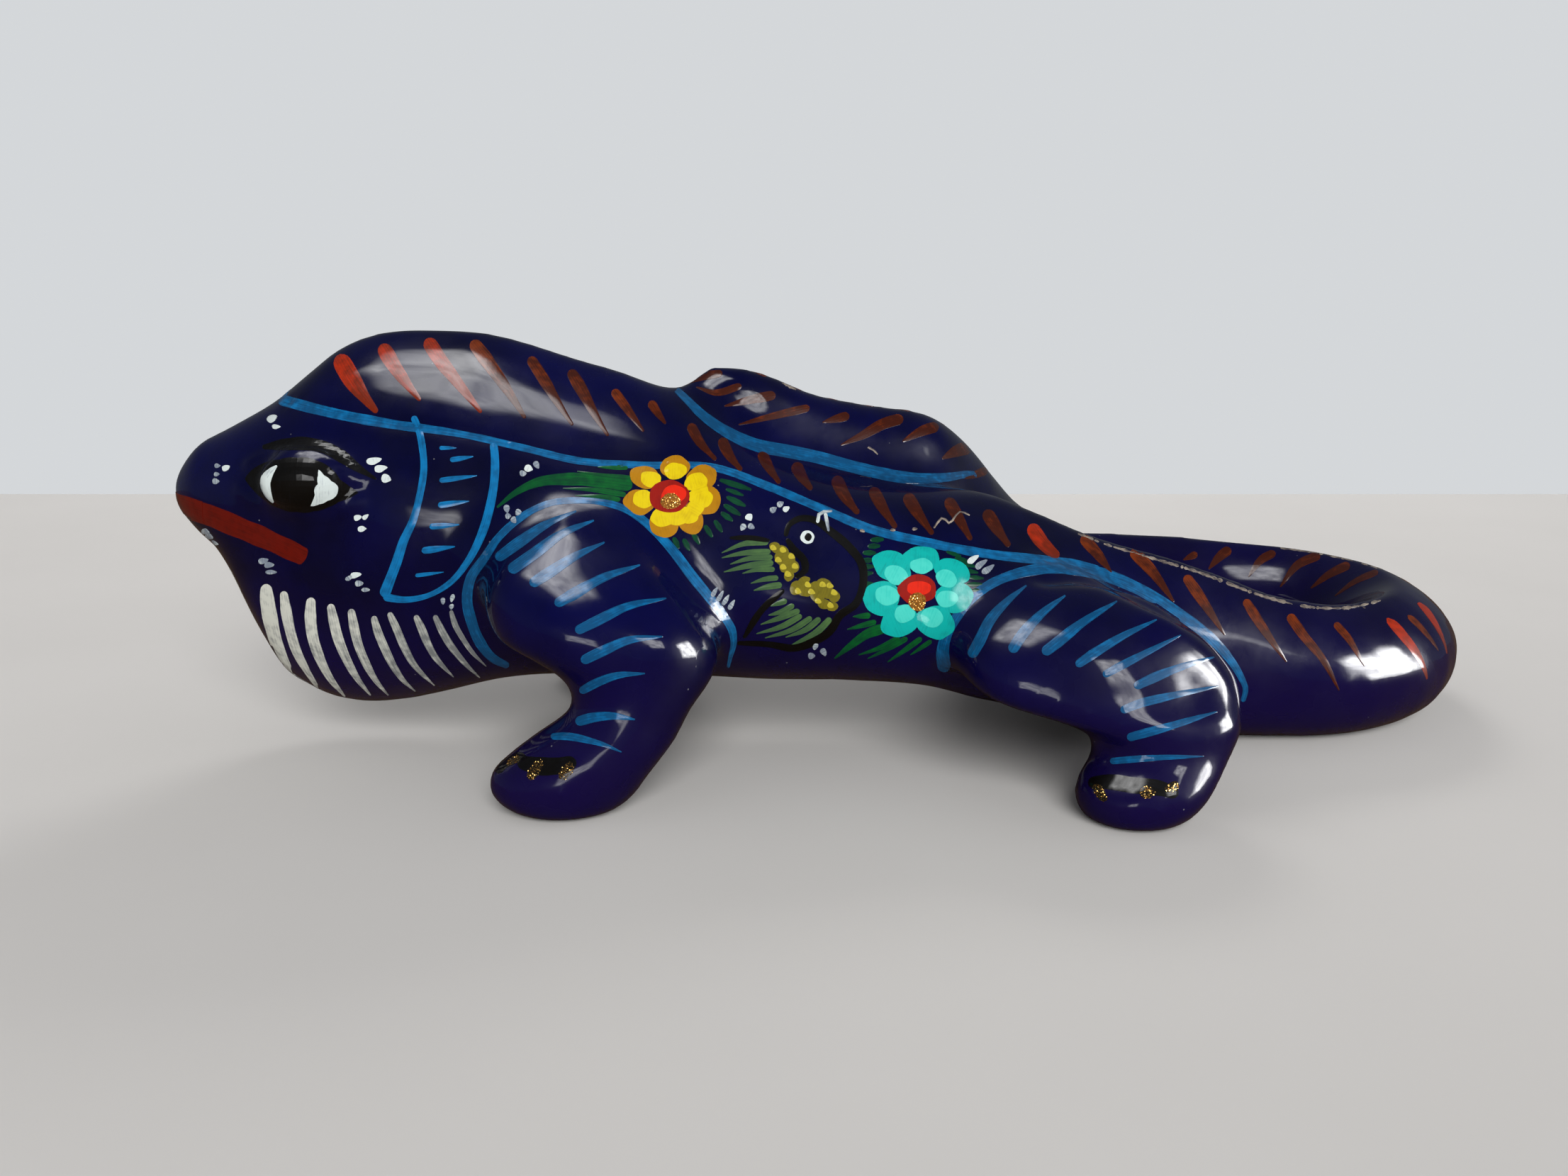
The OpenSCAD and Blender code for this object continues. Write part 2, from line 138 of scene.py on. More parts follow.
def above_table(places):
    """Places with none of them under the table top."""
    places[:, 2] = np.maximum(places[:, 2], 0)
    return places


def add_rod(lumps, radius, low, high, sides):
    """Adds an upright rod where the vent is to some lumps."""
    bmesh.ops.create_cone(
        lumps, cap_ends=True, segments=sides, radius1=radius, radius2=radius, depth=high - low,
        matrix=Matrix.Translation(vent_place + Vector((0, 0, (low + high) / 2))),
    )


def union(piece):
    """Joins the lumps of a piece into one skin of even grain."""
    step = piece.modifiers.new("union", "REMESH")
    step.mode = "VOXEL"
    step.voxel_size = grain
    joined = plain_mesh(piece)
    piece.modifiers.remove(step)
    old = piece.data
    piece.data = joined
    bpy.data.meshes.remove(old)


def rub(mesh, passes, steps=(0.5, -0.53)):
    """Smooths a mesh; the second step swells it back, so that it doesn't shrink."""
    places = per_vertex(mesh, "co")
    edges = np.empty(len(mesh.edges) * 2, np.int32)
    mesh.edges.foreach_get("vertices", edges)
    first, second = edges.reshape(-1, 2).T
    ends = np.concatenate([first, second])
    others = np.concatenate([second, first])
    count = np.bincount(ends, minlength=len(places))[:, None]
    for _ in range(passes):
        for step in steps:
            sums = [np.bincount(ends, places[others, axis], len(places)) for axis in range(3)]
            places = places + step * (np.stack(sums, axis=1) / count - places)
    reshape(mesh, above_table(places))


lumps = bmesh.new()
for name in clay_nodes + eye_nodes:
    lump = bmesh.new()
    lump.from_mesh(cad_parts[name].data)
    bmesh.ops.remove_doubles(lump, verts=lump.verts, dist=1e-6)
    merged = bpy.data.meshes.new("lump")
    lump.to_mesh(merged)
    lump.free()
    lumps.from_mesh(merged)
    bpy.data.meshes.remove(merged)
add_rod(lumps, vent_radius + grain, plug_low, plug_high, plug_sides)
# A lump of slip closes the corner between the right hind leg and the tail
bmesh.ops.create_icosphere(
    lumps, subdivisions=3, radius=1,
    matrix=Matrix.Translation(leg_slip_place) @ Matrix.Diagonal((*leg_slip_size, 1)),
)
figure = put_in_scene("clay_figure", bpy.data.meshes.new("clay_figure"))
lumps.to_mesh(figure.data)
lumps.free()

# Slip fills the narrow grooves where the pieces meet
for fill in (slip_fill, -slip_fill):
    union(figure)
    swell(figure.data, fill)
union(figure)
rub(figure.data, rub_passes)

# A thumb melts the joints into the body, and a stick presses the seam along the back and raises the
# eyelids, by lines of the photograph
lid_line = (352, 655, 372, 645, 398, 638, 428, 637, 456, 643, 482, 657, 505, 677)
lower_lid_line = (338, 690, 365, 712, 400, 726, 440, 731, 480, 722, 508, 706)
back_seam = (
    392, 563, 466, 582, 544, 597, 648, 612, 739, 632, 816, 650, 899, 656, 1009, 660, 1086, 687, 1160, 718,
    1230, 747, 1301, 764, 1397, 782, 1480, 791,
)
crease_line = (
    947, 543, 965, 560, 993, 587, 1030, 612, 1067, 628, 1108, 636, 1153, 645, 1197, 657, 1235, 666,
    1272, 673, 1309, 675, 1339, 673, 1366, 669, 1380, 670,
)
crease_front = (1153, 655, 1197, 668, 1235, 680, 1272, 688, 1309, 692, 1345, 696)
shoulder_arc = (
    718, 940, 695, 928, 676, 904, 665, 876, 659, 848, 664, 816, 683, 788, 702, 760, 727, 736, 751, 720,
    779, 709, 811, 706, 846, 708, 874, 715, 902, 730, 926, 751, 951, 779, 975, 811, 1000, 842, 1021, 869,
    1033, 890, 1035, 906, 1030, 928, 1027, 942,
)
haunch_arc = (
    1333, 948, 1330, 918, 1336, 894, 1348, 873, 1369, 846, 1396, 825, 1429, 811, 1465, 803, 1498, 801,
    1534, 805, 1567, 814, 1600, 828, 1630, 844, 1660, 864, 1690, 885, 1714, 906, 1735, 930, 1750, 954,
    1757, 972, 1753, 990,
)
haunch_top = (1369, 846, 1396, 828, 1429, 816, 1465, 810, 1498, 808, 1525, 810)
haunch_press = (1478, 812, 1515, 812, 1550, 819, 1585, 832, 1620, 849, 1650, 867)
haunch_rim = (1650, 893, 1700, 933, 1723, 968, 1726, 1012)
shoulder_rim = (800, 745, 850, 752, 890, 780, 920, 820, 945, 865, 955, 905)
far_haunch_shift = Vector((0.014, 0, -0.003))
line_marks = 70
joints = [
    (crease_line, None, 0.5, 0.011),
    (shoulder_arc, Vector(), 0.5, 0.008),
    (crease_front, None, 0.5, 0.012),
    (haunch_arc, far_haunch_shift, 0.5, 0.010),
    (haunch_top, far_haunch_shift, 0.5, 0.014),
]
seams = [
    (lid_line, -0.0008, 0.0018, Vector()),
    (lower_lid_line, -0.0005, 0.0018, Vector()),
    (back_seam, 0.0004, 0.0020, Vector()),
    (haunch_press, 0.0018, 0.0055, far_haunch_shift),
    (haunch_rim, -0.0019, 0.0070, far_haunch_shift),
    (shoulder_rim, -0.0009, 0.0070, Vector()),
]


def feel():
    """Tree that finds places on the figure's skin as it is now."""
    return BVHTree.FromObject(figure, bpy.context.evaluated_depsgraph_get())


def distances(path):
    """Distance of each point of a path from its start, along it."""
    return np.concatenate([[0], np.cumsum(np.linalg.norm(np.diff(path, axis=0), axis=1))])


def curve_through(path, reach):
    """Pixels on a smooth curve through a path, at shares of its length, and its length."""
    knots = np.array(path, float).reshape(-1, 2)
    marks = distances(knots)
    slopes = np.gradient(knots, marks, axis=0)
    reach = np.clip(np.asarray(reach) * marks[-1], 0, marks[-1])
    start = np.clip(np.searchsorted(marks, reach, "right") - 1, 0, len(marks) - 2)
    span = (marks[start + 1] - marks[start])[:, None]
    t = (reach - marks[start])[:, None] / span
    pixels = (
        knots[start] * (2 * t**3 - 3 * t**2 + 1) + slopes[start] * span * (t**3 - 2 * t**2 + t)
        + knots[start + 1] * (3 * t**2 - 2 * t**3) + slopes[start + 1] * span * (t**3 - t**2)
    )
    return pixels, marks[-1]


def touch(pixel, distance=None, give=0):
    """Place on the clay under a pixel, near a known distance where there is one."""
    line = sight_line(*pixel)
    place, _, _, reach = skin.ray_cast(eye_point, line)
    if distance is None:
        return place
    if place is None or abs(reach - distance) > give:
        place = skin.find_nearest(eye_point + line * distance)[0]
    return place


def other_side(place):
    """The same place on the far side of the figure."""
    return Vector((place[0], 2 * middle_y - place[1], place[2]))


def line_places(line, shift=None):
    """Places on the clay along a line of pixels, on both sides unless the shift is None."""
    pixels, _ = curve_through(line, np.linspace(0, 1, line_marks))
    near = [place for place in map(touch, pixels) if place]
    return near if shift is None else near + [other_side(place) + shift for place in near]


def close_to(line, shift, spread):
    """How close each vertex of the figure is to a line: 1 on it, fading to 0 over the spread."""
    places = per_vertex(figure.data, "co")
    gap = np.full(len(places), 1.0)
    for mark in line_places(line, shift):
        np.minimum(gap, np.linalg.norm(places - np.array(mark), axis=1), out=gap)
    return np.exp(-((gap / spread) ** 2))


skin = feel()
melted = np.zeros(len(figure.data.vertices))
for line, shift, strength, spread in joints:
    melted = np.maximum(melted, strength * close_to(line, shift, spread))
rub(figure.data, melt_passes, steps=(melted[:, None],))
skin = feel()
for line, depth, spread, shift in seams:
    swell(figure.data, -depth * close_to(line, shift, spread)[:, None])

# The hand leaves a slight waver all over
waver = [noise.noise(Vector(place) * waver_scale) for place in per_vertex(figure.data, "co")]
swell(figure.data, hand_waver * np.array(waver)[:, None])
reshape(figure.data, above_table(per_vertex(figure.data, "co")))

# The vent is pushed through the wet belly with a rod
rod = bmesh.new()
add_rod(rod, vent_radius, rod_low, rod_high, rod_sides)
rod_piece = put_in_scene("vent_rod", bpy.data.meshes.new("vent_rod"))
rod.to_mesh(rod_piece.data)
rod.free()
vent = figure.modifiers.new("vent", "BOOLEAN")
vent.operation = "DIFFERENCE"
vent.solver = "EXACT"
vent.object = rod_piece
vented = plain_mesh(figure)
figure.modifiers.remove(vent)
bpy.data.objects.remove(rod_piece)
figure.data = vented
figure.data.polygons.foreach_set("use_smooth", [True] * len(figure.data.polygons))
skin = feel()

# Dark blue ground, tinted purple towards the bottom as a painted reflection of the table, under a clear
# varnish with dust in it
navy_deep = (0.0010, 0.0012, 0.018, 1)
navy_bright = (0.0015, 0.0019, 0.048, 1)
# Purple of the painted reflection of the table, low down on the figure
painted_table_reflection = (0.0070, 0.0030, 0.046, 1)
dust_grey = (0.16, 0.16, 0.18, 1)
bare_of_dust = 0.955


def feed(tree, socket, value):
    """Gives a socket a constant, an output or the first output of a node."""
    if isinstance(value, bpy.types.Node):
        value = value.outputs[0]
    if isinstance(value, bpy.types.NodeSocket):
        tree.links.new(value, socket)
    else:
        socket.default_value = value


def add_node(tree, kind, *first, **named):
    """Adds a node, with its first inputs fed in order and properties and other inputs set by name."""
    node = tree.nodes.new(kind)
    for key, value in named.items():
        if hasattr(node, key):
            setattr(node, key, value)
        else:
            feed(tree, node.inputs[key.replace("_", " ")], value)
    for socket, value in zip(node.inputs, first):
        feed(tree, socket, value)
    return node


def map_range(tree, value, *ends, **named):
    """Maps a value from one range, 0 to 1 if no other is given, to another."""
    keys = ("From_Min", "From_Max", "To_Min", "To_Max")
    return add_node(tree, "ShaderNodeMapRange", value, **dict(zip(keys, ends)), **named)


def calculate(tree, operation, *values):
    """One step of arithmetic."""
    return add_node(tree, "ShaderNodeMath", *values, operation=operation)


def own_place(tree):
    """Place on the piece itself."""
    return add_node(tree, "ShaderNodeTexCoord").outputs["Object"]


def noise_on(tree, place, scale, detail, **named):
    """Noise over a place."""
    return add_node(tree, "ShaderNodeTexNoise", place, Scale=scale, Detail=detail, **named)


def blend_colours(tree, factor, first, second):
    """Mixes two colours by a factor; gives the result."""
    mix = add_node(tree, "ShaderNodeMix", data_type="RGBA", Factor=factor)
    feed(tree, mix.inputs[6], first)
    feed(tree, mix.inputs[7], second)
    return mix.outputs[2]


def new_group(name, kind, inputs, outputs):
    """Node group with named sockets; gives its tree, what it is given and the identifiers of its inputs."""
    tree = bpy.data.node_groups.new(name, kind)
    if kind == "GeometryNodeTree":
        tree.is_modifier = True
    identifiers = {}
    for key, value in inputs.items():
        socket = tree.interface.new_socket(key, in_out="INPUT", socket_type="NodeSocket" + value)
        identifiers[key] = socket.identifier
    for key, value in outputs.items():
        tree.interface.new_socket(key, in_out="OUTPUT", socket_type="NodeSocket" + value)
    return tree, add_node(tree, "NodeGroupInput").outputs, identifiers


def varnish_group():
    """Film of brushed varnish: how rough it is and how it ripples."""
    tree, given, _ = new_group(
        "varnish_film", "ShaderNodeTree",
        {"Smooth": "Float", "Dull": "Float"}, {"Roughness": "Float", "Height": "Float"},
    )
    place = own_place(tree)
    patches = noise_on(tree, place, 70.0, 3.0)
    rough = map_range(tree, patches, 0.35, 0.7, given["Smooth"], given["Dull"])
    ripple = noise_on(tree, place, 260.0, 2.0)
    grit = add_node(tree, "ShaderNodeTexVoronoi", place, Scale=520.0)
    grit_top = map_range(tree, grit, 0.0, 0.14, 0.25, 0.0)
    add_node(tree, "NodeGroupOutput", Roughness=rough, Height=calculate(tree, "ADD", ripple, grit_top))
    return tree


varnish_film = varnish_group()


def new_material(name, **named):
    """Material with inputs of its shader set by name; gives it, its node tree and its shader."""
    material = bpy.data.materials.new(name)
    material.use_nodes = True
    shader = material.node_tree.nodes["Principled BSDF"]
    for key, value in named.items():
        shader.inputs[key.replace("_", " ")].default_value = value
    return material, material.node_tree, shader


def varnished(name, smooth, dull):
    """Material with a varnish coat, its node tree and its shader."""
    material, tree, shader = new_material(
        name, Coat_Weight=1.0, Coat_Roughness=0.03, Coat_IOR=1.38, Specular_IOR_Level=0.08
    )
    film = add_node(tree, "ShaderNodeGroup", node_tree=varnish_film, Smooth=smooth, Dull=dull)
    bump = add_node(tree, "ShaderNodeBump", Strength=0.20, Distance=0.0003, Height=film.outputs["Height"])
    feed(tree, shader.inputs["Roughness"], film.outputs["Roughness"])
    feed(tree, shader.inputs["Normal"], bump)
    return material, tree, shader


navy, tree, shader = varnished("navy_varnish", smooth=0.20, dull=0.38)
place = own_place(tree)
clouds = map_range(tree, noise_on(tree, place, 24.0, 4.0, Roughness=0.6), 0.35, 0.68)
height = add_node(tree, "ShaderNodeSeparateXYZ", place).outputs["Z"]
# Painted reflection: the ground is mixed towards purple near the bottom, for the table seen in the varnish
table_reflection_share = map_range(tree, height, 0.012, 0.055, 0.85, 0.0)
specks = add_node(tree, "ShaderNodeTexVoronoi", place, Scale=330.0)
speck_size = map_range(tree, specks, 0.05, 0.09, 1.0, 0.0)
speck_pick = add_node(tree, "ShaderNodeSeparateColor", specks.outputs["Color"])
speck_few = calculate(tree, "GREATER_THAN", speck_pick, bare_of_dust)
ground = blend_colours(tree, clouds, navy_deep, navy_bright)
ground = blend_colours(tree, table_reflection_share, ground, painted_table_reflection)
ground = blend_colours(tree, calculate(tree, "MULTIPLY", speck_size, speck_few), ground, dust_grey)
feed(tree, shader.inputs["Base Color"], ground)
figure.data.materials.clear()
figure.data.materials.append(navy)
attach(figure, "root")
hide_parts(*clay_nodes)


# Light blue lines
# Border lines round the face, the shoulders and haunches and along the back, drawn in one pull of a
# round brush in opaque light blue, and varnished over with the rest.
paint_rim, paint_crown, paint_layer, paint_sunk = 0.00005, 0.00003, 0.00004, 0.0003
paint_grid, most_cuts = 0.0008, 6
brush_step, broad_brush = 6.0, 18
unsteady_hand, unsteady_scale = 0.09, 0.045
pulls_per_metre = 100
usual_distance, cast_gap, far_gap = 0.38, 0.002, 0.0025
tear, near_slack, far_slack = 0.0015, 9, 6
shortest_run, rows_to_lose, rows_enough = 3, 3, 30
ribbon_columns, ribbon_end = 5, 0.12
high_up, beside_height = 0.3, 0.0175
back_line = back_seam + (1517, 796, 1552, 806)
haunch_line_width = 0.0031
far_arc_gap = 0.005
brow_pixel, brow_lead = (398, 565), 0.001
brow_widths = (0.0026, 0.0022, 0.0026)
cheek_front = (
    583, 587, 591, 607, 596, 632, 598, 661, 593, 695, 582, 736, 569, 764, 560, 792, 549, 821, 541, 842,
)
cheek_back = (
    541, 842, 572, 846, 604, 840, 635, 822, 660, 792, 679, 755, 692, 711, 698, 670, 698, 642, 696, 624,
)
cheek_dashes = [
    (6, 620, 632, 644, 632), (8, 635, 649, 668, 644), (8, 620, 678, 673, 671), (9, 618, 713, 662, 707),
    (9, 606, 743, 648, 740), (10, 595, 777, 642, 771), (6, 586, 812, 626, 807),
]
front_leg_strokes = [
    (16, 700, 789, 730, 767, 772, 739, 813, 721), (17, 718, 806, 751, 783, 793, 753, 838, 734),
    (16, 748, 825, 776, 807, 811, 785, 853, 765), (16, 783, 853, 811, 837, 849, 816, 903, 797),
    (15, 812, 891, 842, 876, 884, 856, 940, 844), (15, 820, 933, 849, 919, 884, 904, 935, 898),
    (13, 818, 976, 842, 963, 870, 953, 910, 950), (15, 812, 1019, 838, 1012, 863, 1010, 896, 1015),
    (11, 777, 1039, 802, 1039, 828, 1044, 856, 1052, 877, 1061),
]
hind_leg_strokes = [
    (17, 1369, 927, 1381, 906, 1396, 876, 1420, 849, 1448, 826),
    (16, 1426, 920, 1441, 897, 1467, 868, 1503, 840), (16, 1471, 922, 1492, 906, 1522, 882, 1576, 848),
    (14, 1518, 939, 1546, 920, 1579, 900, 1632, 874), (12, 1556, 953, 1582, 939, 1609, 925, 1666, 896),
    (14, 1600, 969, 1642, 950, 1675, 938, 1713, 927), (13, 1581, 1003, 1606, 993, 1642, 984, 1719, 968),
    (13, 1590, 1041, 1612, 1035, 1645, 1026, 1717, 1004),
    (10, 1566, 1074, 1588, 1072, 1630, 1069, 1698, 1067),
]


def new_sheet():
    """Empty sheet of paint marks."""
    return {"places": [], "lift": [], "load": [], "pull": [], "faces": []}


def finer(grid, cuts):
    """A grid with each of its steps cut in so many, along and across."""
    for axis, count in enumerate(cuts):
        spots = np.arange((grid.shape[axis] - 1) * count + 1) / count
        low = np.minimum(spots.astype(int), grid.shape[axis] - 2)
        share = (spots - low).reshape([-1 if axis == other else 1 for other in range(grid.ndim)])
        grid = np.take(grid, low, axis) * (1 - share) + np.take(grid, low + 1, axis) * share
    return grid


def coat(sheet, places, crown, pull, load, layer):
    """Adds a grid of places to a sheet as a thin closed coat, thicker in its middle."""
    steps = [np.linalg.norm(np.diff(places, axis=axis), axis=2).max() for axis in (0, 1)]
    cuts = [min(most_cuts, math.ceil(step / paint_grid)) for step in steps]
    places, crown, pull, load = (finer(grid, cuts) for grid in (places, crown, pull, load))
    base = len(sheet["places"])
    top = paint_rim + paint_crown * crown + paint_layer * layer
    sheet["places"] += list(places.reshape(-1, 3)) * 2
    sheet["lift"] += list(top.ravel()) + [-paint_sunk] * top.size
    sheet["load"] += list(load.ravel()) * 2
    sheet["pull"] += list(pull.reshape(-1, 2)) * 2
    over = np.arange(top.size).reshape(top.shape) + base
    under = over + top.size
    for grid, turn in ((over, 1), (under, -1)):
        quads = np.stack([grid[:-1, :-1], grid[:-1, 1:], grid[1:, 1:], grid[1:, :-1]], axis=-1)
        sheet["faces"] += [tuple(quad[::turn]) for quad in quads.reshape(-1, 4).tolist()]
    rim = np.concatenate([over[0, :-1], over[:-1, -1], over[-1, :0:-1], over[:0:-1, 0]])
    for here, there in zip(rim.tolist(), np.roll(rim, -1).tolist()):
        sheet["faces"].append((there, here, here + top.size, there + top.size))


def sound_runs(grid, model, slack):
    """Stretches of rows in which a grid of places isn't torn, set against the size that it should have."""
    torn_across, torn_along = (
        np.linalg.norm(np.diff(grid, axis=axis), axis=2).max(axis=1) > size * slack + tear
        for axis, size in zip((1, 0), model)
    )
    runs, start = [], 0
    for row in range(len(grid)):
        if torn_across[row]:
            runs.append((start, row))
            start = row + 1
        elif row and torn_along[row - 1]:
            runs.append((start, row))
            start = row
    runs.append((start, len(grid)))
    return [slice(first, last) for first, last in runs if last - first >= shortest_run]


def lay(sheets, pixels, crown, load, layer, shift, give=2.5):
    """Casts a grid of pixels on the near side and copies it to the far side, where the clay is bare.

    One sheet takes both sides. A pair has a sheet for each side, or None for a side without the marks.
    """
    near_sheet, far_sheet = sheets if isinstance(sheets, tuple) else (sheets, sheets)
    rows, columns = crown.shape
    middle = columns // 2
    near = np.zeros((rows, columns, 3))
    distance = usual_distance
    for row in range(rows):
        anchor = touch(pixels[row, middle])
        if anchor is not None:
            distance = (anchor - eye_point).length
        for column in range(columns):
            aside = np.linalg.norm(pixels[row, column] - pixels[row, middle]) * distance / focal_px
            near[row, column] = touch(pixels[row, column], distance, cast_gap + give * aside)
    along = np.repeat(distances(near[:, middle])[:, None], columns, axis=1)
    across = np.linalg.norm(near - near[:, middle][:, None], axis=2) * np.sign(np.arange(columns) - middle)
    pull = np.stack([along, across], axis=-1) * pulls_per_metre
    scale = distance / focal_px
    model = [np.linalg.norm(np.diff(pixels, axis=axis), axis=2).max(axis=1) * scale for axis in (1, 0)]
    if near_sheet is not None:
        for run in sound_runs(near, model, near_slack):
            coat(near_sheet, near[run], crown[run], pull[run], load[run], layer)
    if far_sheet is None:
        return
    # Rows that miss the far side are thrown out of the way, and short leftovers of a stroke are dropped
    found = [skin.find_nearest(other_side(place) + shift) for place in near.reshape(-1, 3)]
    far = np.array([place for place, _, _, _ in found]).reshape(near.shape)
    gaps = np.array([gap for _, _, _, gap in found]).reshape(rows, columns)
    far[gaps.max(axis=1) > far_gap + shift.length / 2] += 1
    least = shortest_run if rows == columns else min(rows - rows_to_lose, rows_enough)
    for run in sound_runs(far, model, far_slack):
        if run.stop - run.start >= least and np.abs(far[run]).max() < 1:
            coat(far_sheet, far[run], crown[run], pull[run], load[run], layer)


def rounded(width, gap, radius):
    """Widths of a stroke brought in to a round end."""
    inside = np.clip(1 - gap / radius, 0, 0.98)
    return width * np.sqrt(1 - inside**2)


def stroke_crown(spread, rows):
    """Height of a stroke, full along its middle and flat at its rim."""
    from_end = np.minimum(np.arange(rows), np.arange(rows)[::-1])
    return (1 - (2 * np.abs(spread)) ** 2.5)[None] * np.minimum(1, from_end / 3)[:, None]


def brush(sheets, path, widths, layer=0, shift=Vector(), wet=1.0, dry=0.35, lift_off=1.0, give=2.5):
    """One brush stroke along a path of pixels, from wet to dry, with its widths spread evenly along it."""
    _, length = curve_through(path, [0])
    ends = [min(widths[0] / 2, 0.4 * length), min(lift_off * widths[-1] / 2, 0.3 * length)]
    steps = max(3, int((length - sum(ends)) / brush_step))
    cap = np.array([0.0, 0.08, 0.28, 0.6])
    reach = np.concatenate([
        cap * ends[0], np.linspace(ends[0], length - ends[1], steps), length - (cap * ends[1])[::-1],
    ])
    share = reach / length
    pixels, _ = curve_through(path, share)
    lead = np.gradient(pixels, axis=0)
    side = np.stack([-lead[:, 1], lead[:, 0]], axis=1) / np.linalg.norm(lead, axis=1)[:, None]
    width = np.interp(share, np.linspace(0, 1, len(widths)), widths)
    width = rounded(rounded(width, reach, ends[0]), length - reach, ends[1])
    waver = [noise.noise(Vector((*spot, 3.7))) for spot in pixels * unsteady_scale]
    width = width * (1 + unsteady_hand * np.array(waver))
    columns = 5 if max(widths) < broad_brush else 7
    spread = np.linspace(-0.5, 0.5, columns)
    grid = pixels[:, None] + side[:, None] * (spread[:, None] * width[:, None, None])
    load = np.interp(share, [0, 0.5, 1], [wet, 0.4 * wet + 0.6 * dry, dry])
    load = np.repeat(load[:, None], columns, axis=1)
    lay(sheets, grid, stroke_crown(spread, len(reach)), load, layer, shift, give)


def taper(point=0.14):
    """Shares of a stroke's width along it, where it starts full and lifts off to a point."""
    return (0.86, 1.0, 0.92, 0.74, 0.48, point)


def strokes(sheets, rows, shares=taper(), **how):
    """Brush strokes, each row a width and the pixels of a path."""
    for width, *path in rows:
        brush(sheets, path, [width * share for share in shares], **how)


def ribbon(sheet, stations, widths, layer=0, count=16, blunt=False):
    """One brush stroke over places on the clay that the photograph doesn't show."""
    stations = np.array([skin.find_nearest(Vector(place))[0] for place in stations])
    marks = np.linspace(0, 1, len(stations))
    spots = np.linspace(0, 1, count)
    path = np.stack([np.interp(spots, marks, stations[:, axis]) for axis in range(3)], axis=1)
    for _ in range(3):
        path[1:-1] = (path[:-2] + 2 * path[1:-1] + path[2:]) / 4
    width = np.interp(spots, np.linspace(0, 1, len(widths)), widths)
    if not blunt:
        width = rounded(width, spots, ribbon_end)
    lead = np.gradient(path, axis=0)
    lean = np.array([skin.find_nearest(Vector(place))[1] for place in path])
    side = np.cross(lean, lead)
    side /= np.linalg.norm(side, axis=1)[:, None]
    spread = np.linspace(-0.5, 0.5, ribbon_columns)
    grid = path[:, None] + side[:, None] * (spread[:, None] * width[:, None, None])
    along = np.repeat(distances(path)[:, None], ribbon_columns, axis=1)
    pull = np.stack([along, spread[None] * width[:, None]], axis=-1) * pulls_per_metre
    load = np.interp(spots, [0, 0.5, 1], [1, 0.8, 0.35])
    load = np.repeat(load[:, None], ribbon_columns, axis=1)
    coat(sheet, grid, stroke_crown(spread, count), pull, load, layer)


def drop_on(x, y):
    """Highest place on the clay at a spot in plan, or the nearest one beside it."""
    place = skin.ray_cast(Vector((x, y, high_up)), Vector((0, 0, -1)))[0]
    return place or skin.find_nearest(Vector((x, y, beside_height)))[0]


def lay_on_clay_tree():
    """Geometry Nodes tree that lifts each vertex of a sheet off the nearest clay by its own amount."""
    tree, given, identifiers = new_group(
        "lay_on_clay", "GeometryNodeTree",
        {"Marks": "Geometry", "Clay": "Object", "Paint": "Material"}, {"Coat": "Geometry"},
    )
    clay = add_node(tree, "GeometryNodeObjectInfo", Object=given["Clay"]).outputs["Geometry"]
    nearest = add_node(tree, "GeometryNodeProximity", clay, target_element="FACES")
    lean = add_node(tree, "GeometryNodeInputNormal")
    upward = add_node(
        tree, "GeometryNodeSampleNearestSurface", data_type="FLOAT_VECTOR", Mesh=clay, Value=lean
    )
    lift = add_node(tree, "GeometryNodeInputNamedAttribute", data_type="FLOAT", Name="lift")
    straight = add_node(tree, "ShaderNodeVectorMath", upward, operation="NORMALIZE")
    rise = add_node(tree, "ShaderNodeVectorMath", straight, operation="SCALE", Scale=lift)
    place = add_node(tree, "ShaderNodeVectorMath", nearest, rise, operation="ADD")
    laid = add_node(tree, "GeometryNodeSetPosition", given["Marks"], Position=place)
    real = add_node(tree, "GeometryNodeRealizeInstances", laid)
    painted = add_node(tree, "GeometryNodeSetMaterial", real, Material=given["Paint"])
    add_node(tree, "NodeGroupOutput", Coat=painted)
    return tree, identifiers


lay_on_clay = lay_on_clay_tree()


def worked(piece, tree, identifiers, **inputs):
    """Mesh of a piece after a Geometry Nodes tree with these inputs."""
    step = piece.modifiers.new(tree.name, "NODES")
    step.node_group = tree
    for key, value in inputs.items():
        step[identifiers[key]] = value
    mesh = plain_mesh(piece)
    piece.modifiers.remove(step)
    return mesh


def paint_piece(name, sheet, material):
    """Lays a sheet of marks on the clay and gives the finished piece."""
    mesh = bpy.data.meshes.new(name)
    mesh.from_pydata([tuple(place) for place in sheet["places"]], [], sheet["faces"])
    for key in ("lift", "load"):
        values = mesh.attributes.new(key, "FLOAT", "POINT").data
        values.foreach_set("value", np.array(sheet[key], np.float32))
    pull = mesh.uv_layers.new(name="pull")
    loops = np.empty(len(mesh.loops), np.int32)
    mesh.loops.foreach_get("vertex_index", loops)
    pull.data.foreach_set("uv", np.array(sheet["pull"], np.float32)[loops].ravel())
    piece = put_in_scene(name, mesh)
    laid = worked(piece, *lay_on_clay, Clay=figure, Paint=material)
    solid = bmesh.new()
    solid.from_mesh(laid)
    bmesh.ops.recalc_face_normals(solid, faces=solid.faces)
    solid.to_mesh(laid)
    solid.free()
    laid.polygons.foreach_set("use_smooth", [True] * len(laid.polygons))
    laid.set_sharp_from_angle(angle=math.radians(35))
    piece.data = laid
    bpy.data.meshes.remove(mesh)
    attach(piece, "root")
    return piece


